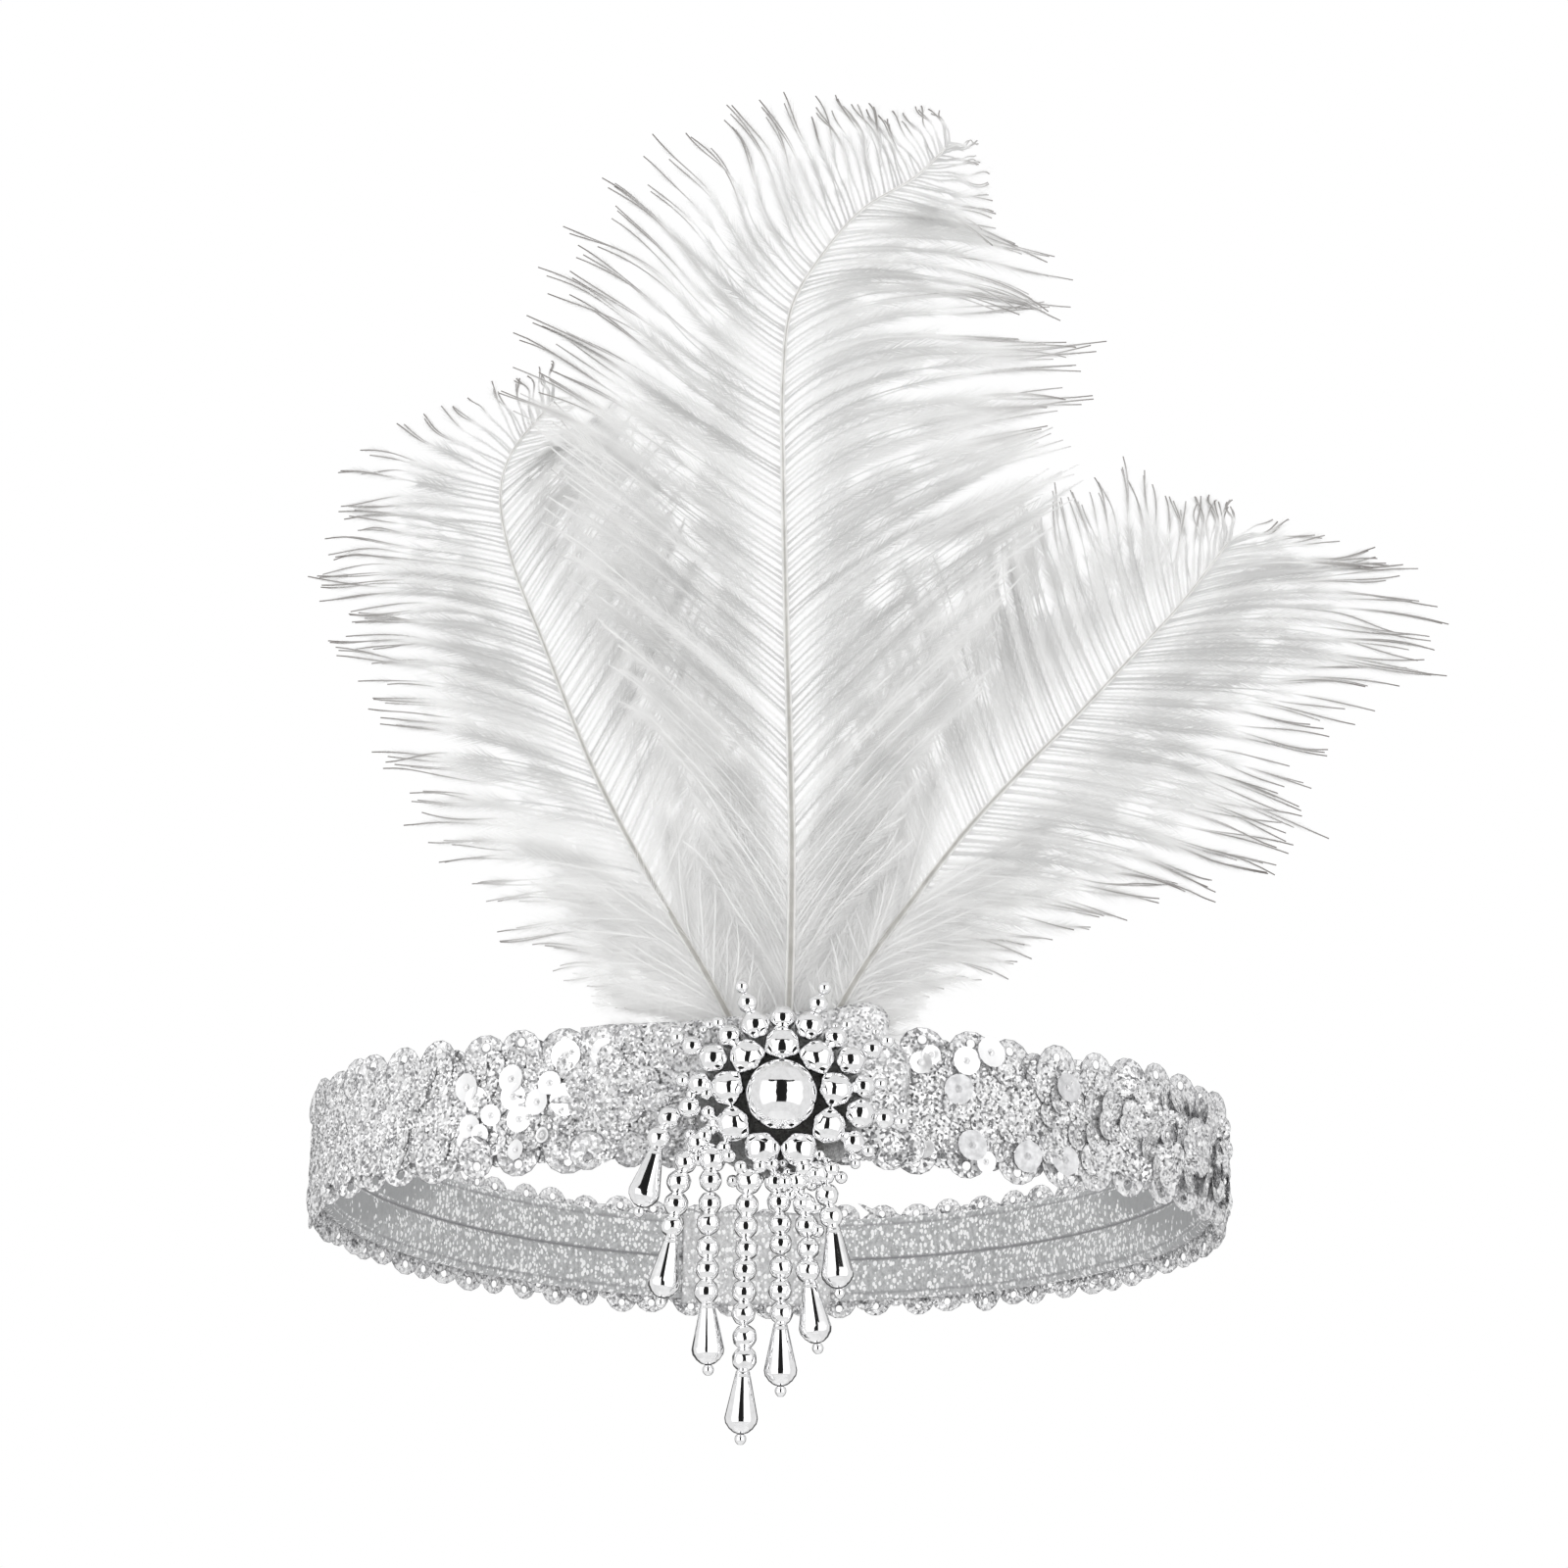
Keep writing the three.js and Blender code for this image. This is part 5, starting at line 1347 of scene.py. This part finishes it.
def barb(parts, path, length, ratio, parts_at, look, cover, rng):
    """A barb's shaft as a narrow ribbon, and its barbules as long thin blades on both sides.

    ratio is how far the barb reaches along its lock and parts_at where the lock comes free of its
    neighbours. look holds how bare the barb is next to the rachis, how white it is and how grey its tip
    is, each from 0 to 1. cover is how full its barbules are along it. The tone layer runs from 0 for a
    darker barb to 1 for a white one, and to 2 at a grey tip.
    """
    combed, shade, grey = look
    share = np.linspace(0, 1, len(path))
    tangent = unit(np.gradient(path, axis=0))
    across = unit(np.cross(tangent, FORWARD))
    shaft = share[::2]
    width = (0.14 - 0.03 * shaft + 0.2 * np.exp(-shaft * length / 0.8))[:, None]
    middle = path[::2] + 0.12 * FORWARD
    ribbon = np.stack([middle - across[::2] * width, middle + across[::2] * width], 1)
    shaft_tone = barb_tone(shade, grey, shaft * ratio)
    shaft_tone = shaft_tone + 0.4 * grey * smooth((shaft * ratio - parts_at) / 0.25)
    parts.add(ribbon, grid_faces(len(shaft), 2), np.repeat(shaft_tone, 2))
    steps = max(12, int(length / BARBULE_STEP))
    s = np.linspace(0.01, 0.985, steps + 1)
    centre = read_off(s, share, path)
    along = read_off(s, share, tangent)[:-1]
    side = read_off(s, share, across)[:-1]
    t = s[:-1]
    bare = combed * (1 - 0.16 - 0.08 * smooth(t * length / 5) - 0.76 * smooth((t * length - 3.5) / 7))
    free = smooth((t * ratio - parts_at + 0.1) / 0.25)
    reach = (1 - bare) * (1 - 0.25 * free) * (1 - 0.9 * smooth((t - 0.8) / 0.2)) * np.interp(t, share, cover)
    points = [centre]
    faces = []
    index = np.arange(steps)
    for k, sign in enumerate((-1, 1)):
        blade = BARBULE * reach * rng.uniform(0.65, 1.15, steps)
        spread = np.radians(rng.uniform(13, 30, steps) * (1 - 0.35 * free))[:, None]
        way = along * np.cos(spread) + sign * side * np.sin(spread)
        way = way + FORWARD * rng.normal(0, 0.04, steps)[:, None]
        points.append(centre[:-1] + way * blade[:, None])
        tip = index + steps + 1 + k * steps
        pair = (index, index + 1) if sign > 0 else (index + 1, index)
        faces.append(np.stack([*pair, tip], -1))
    middle_tone = barb_tone(shade, grey, s * ratio)
    # The barbules' tips are a little darker: painted shade between the barbs.
    shaded_tip_tone = 0.85 * middle_tone[:-1]
    tones = np.concatenate([middle_tone, shaded_tip_tone, shaded_tip_tone])
    parts.add(np.concatenate(points), np.concatenate(faces), tones)


def barb_tone(shade, grey, along_lock):
    """Tone along a barb, a little darker where its lock stands free and grey at the lock's tip."""
    free = shade + grey * (1.38 - shade) * smooth((along_lock - 0.45) / 0.35)
    return free + grey * (1.68 - free) * smooth((along_lock - 0.86) / 0.14)


QUILL_FOOT = 1.5
QUILL_TIP = 0.45
QUILL_SIDES = 16


def quill(line):
    """The rachis: a pale shaft with painted shade for a groove down its front, thinner towards its tip."""
    parts = Parts()
    line = line[::4]
    share = np.linspace(0, 1, len(line))
    radius = 0.5 * (QUILL_FOOT + (QUILL_TIP - QUILL_FOOT) * share**1.1)
    front = np.clip(-np.sin(round_angles(QUILL_SIDES)), 0, 1)[None, :]
    # Tone 1 down the front paints the shade of a groove.
    tone = smooth((front - 0.80 - 0.12 * share[:, None]) / 0.12)
    tube(parts, line, radius, QUILL_SIDES, tone.ravel(), FORWARD)
    return parts


def plumes():
    for name, plume in PLUMES.items():
        rng = np.random.default_rng(plume["seed"])
        line = rachis_line(plume)
        quill(line).piece(name + "_quill", QUILL, "feather", [name])
        for side, word in ((1, "left"), (-1, "right")):
            vane(plume, line, side, rng).piece(f"{name}_{word}_vane", BARB, "feather", [name])


# Stage: floor, light and camera

FLOOR_RADIUS = 400.0
FLOOR_LEVEL = -600.0
FLOOR_SIDES = 96
ROOM_LEVEL = 0.80
WINDOW_LEVEL = 1.75


def world():
    """A white studio. Its mirror image holds two bright windows at the front with a dark gap between."""
    scene = bpy.context.scene
    scene.world = bpy.data.worlds.new("studio")
    scene.world.use_nodes = True
    tree = scene.world.node_tree
    tree.nodes.clear()

    def node(kind, links=(), **settings):
        return add_node(tree, kind, links, **settings)

    def calc(operation, a, b=0.0):
        return node("ShaderNodeMath", {0: a, 1: b}, operation=operation).outputs[0]

    def rise(value, low, high):
        """0 at low, 1 at high, and an even curve between."""
        links = {0: value, 1: low, 2: high}
        return node("ShaderNodeMapRange", links, interpolation_type="SMOOTHSTEP").outputs[0]

    def window(value, low, high, soft):
        """1 between low and high, with soft edges."""
        return calc("MULTIPLY", rise(value, low - soft, low + soft), rise(value, high + soft, high - soft))

    way = node("ShaderNodeTexCoord").outputs["Generated"]
    x, y, z = node("ShaderNodeSeparateXYZ", {0: way}).outputs
    azimuth = calc("MULTIPLY", calc("ARCTAN2", x, calc("MULTIPLY", y, -1.0)), 180 / math.pi)
    height = calc("MULTIPLY", calc("ARCSINE", z), 180 / math.pi)
    side = calc("ABSOLUTE", azimuth)
    behind = rise(y, 0.68, 0.8)
    sky = calc("MULTIPLY", ROOM_LEVEL, calc("SUBTRACT", 1.0, calc("MULTIPLY", behind, 0.88)))
    fade = node("ShaderNodeMapRange", {0: side, 1: 30.0, 2: 75.0, 3: 1.0, 4: 0.35}).outputs[0]
    lamp = calc("MULTIPLY", window(side, 14.0, 74.0, 5.0), window(height, -30.0, 33.0, 4.0))
    lamp = calc("MULTIPLY", lamp, fade)
    card = calc("MULTIPLY", window(side, -30.0, 18.0, 1.0), window(height, -33.0, 36.0, 2.0))
    bar = calc("MULTIPLY", window(side, -30.0, 49.0, 2.0), window(height, 33.0, 38.0, 0.8))
    dark = calc("MAXIMUM", card, bar)
    bright = calc("ADD", sky, calc("MULTIPLY", lamp, WINDOW_LEVEL - ROOM_LEVEL))
    level = calc("MULTIPLY", bright, calc("SUBTRACT", 1.0, calc("MULTIPLY", dark, 0.98)))
    seen = node("ShaderNodeLightPath").outputs["Is Camera Ray"]
    grey = node("ShaderNodeCombineColor", {0: level, 1: level, 2: level}).outputs[0]
    studio = node("ShaderNodeBackground", {0: grey})
    plain = node("ShaderNodeBackground", {0: (1.0, 1.0, 1.0, 1.0), 1: 1.0})
    mixed = node("ShaderNodeMixShader", {0: seen, 1: studio.outputs[0], 2: plain.outputs[0]})
    tree.links.new(mixed.outputs[0], node("ShaderNodeOutputWorld").inputs[0])


def lamp(name, place, size, power, target=(0, -90, 40)):
    data = bpy.data.lights.new(name, "AREA")
    data.energy = power
    data.size = size
    obj = new_object(name, data)
    obj.location = Vector(place)
    aim = Vector(target) * MM - obj.location
    obj.rotation_euler = aim.to_track_quat("-Z", "Y").to_euler()
    obj.visible_glossy = False


def floor():
    """A plain pale disc of floor, well below the headband."""
    turns = round_angles(FLOOR_SIDES)
    rim = np.stack([FLOOR_RADIUS * np.cos(turns), FLOOR_RADIUS * np.sin(turns), 0 * turns + FLOOR_LEVEL], -1)
    mesh = bpy.data.meshes.new("floor")
    mesh.from_pydata((rim * MM).tolist(), [], [list(range(FLOOR_SIDES))])
    shader = Shader("floor_pale", (0.9, 0.9, 0.9), 0.9)
    tone = shader.clouds(1.5)
    shader.feed("Base Color", shader.color_between(tone, (0.88, 0.88, 0.88), (0.93, 0.93, 0.93)))
    mesh.materials.append(shader.material)
    new_object("floor", mesh)


# Camera, fitted to the photograph: a photograph of 1600 pixels a side, looking up a little
CAMERA_PLACE = (1.82, -591.8, -98.9)
CAMERA_PITCH = 16.84
CAMERA_ROLL = 0.933
FOCAL_PIXELS = 3219.0
PHOTO_PIXELS = 1600


def camera():
    pitch = math.radians(CAMERA_PITCH)
    roll = math.radians(CAMERA_ROLL)
    forward = np.array([0.0, math.cos(pitch), math.sin(pitch)])
    up = np.array([0.0, -math.sin(pitch), math.cos(pitch)])
    right2 = math.cos(roll) * RIGHT + math.sin(roll) * up
    up2 = -math.sin(roll) * RIGHT + math.cos(roll) * up
    data = bpy.data.cameras.new("camera")
    data.sensor_width = 36.0
    data.lens = FOCAL_PIXELS / PHOTO_PIXELS * data.sensor_width
    data.clip_start = 0.01
    data.clip_end = 50.0
    obj = new_object("camera", data)
    turn = Matrix([right2, up2, -forward]).transposed().to_4x4()
    obj.matrix_world = Matrix.Translation(Vector(CAMERA_PLACE) * MM) @ turn
    bpy.context.scene.camera = obj


def main():
    scene = bpy.context.scene
    scene.view_settings.view_transform = "Standard"
    camera()
    world()
    lamp("key", (-0.7, -1.1, 0.9), 0.9, 1.5)
    lamp("back", (0.1, 1.1, 1.5), 1.0, 14.0)
    floor()
    band_net()
    band_sequins(np.random.default_rng(21))
    sliver()
    lining()
    lapped_end()
    patch()
    felt()
    brooch()
    seeds(np.random.default_rng(31))
    strings(np.random.default_rng(41))
    plumes()


main()
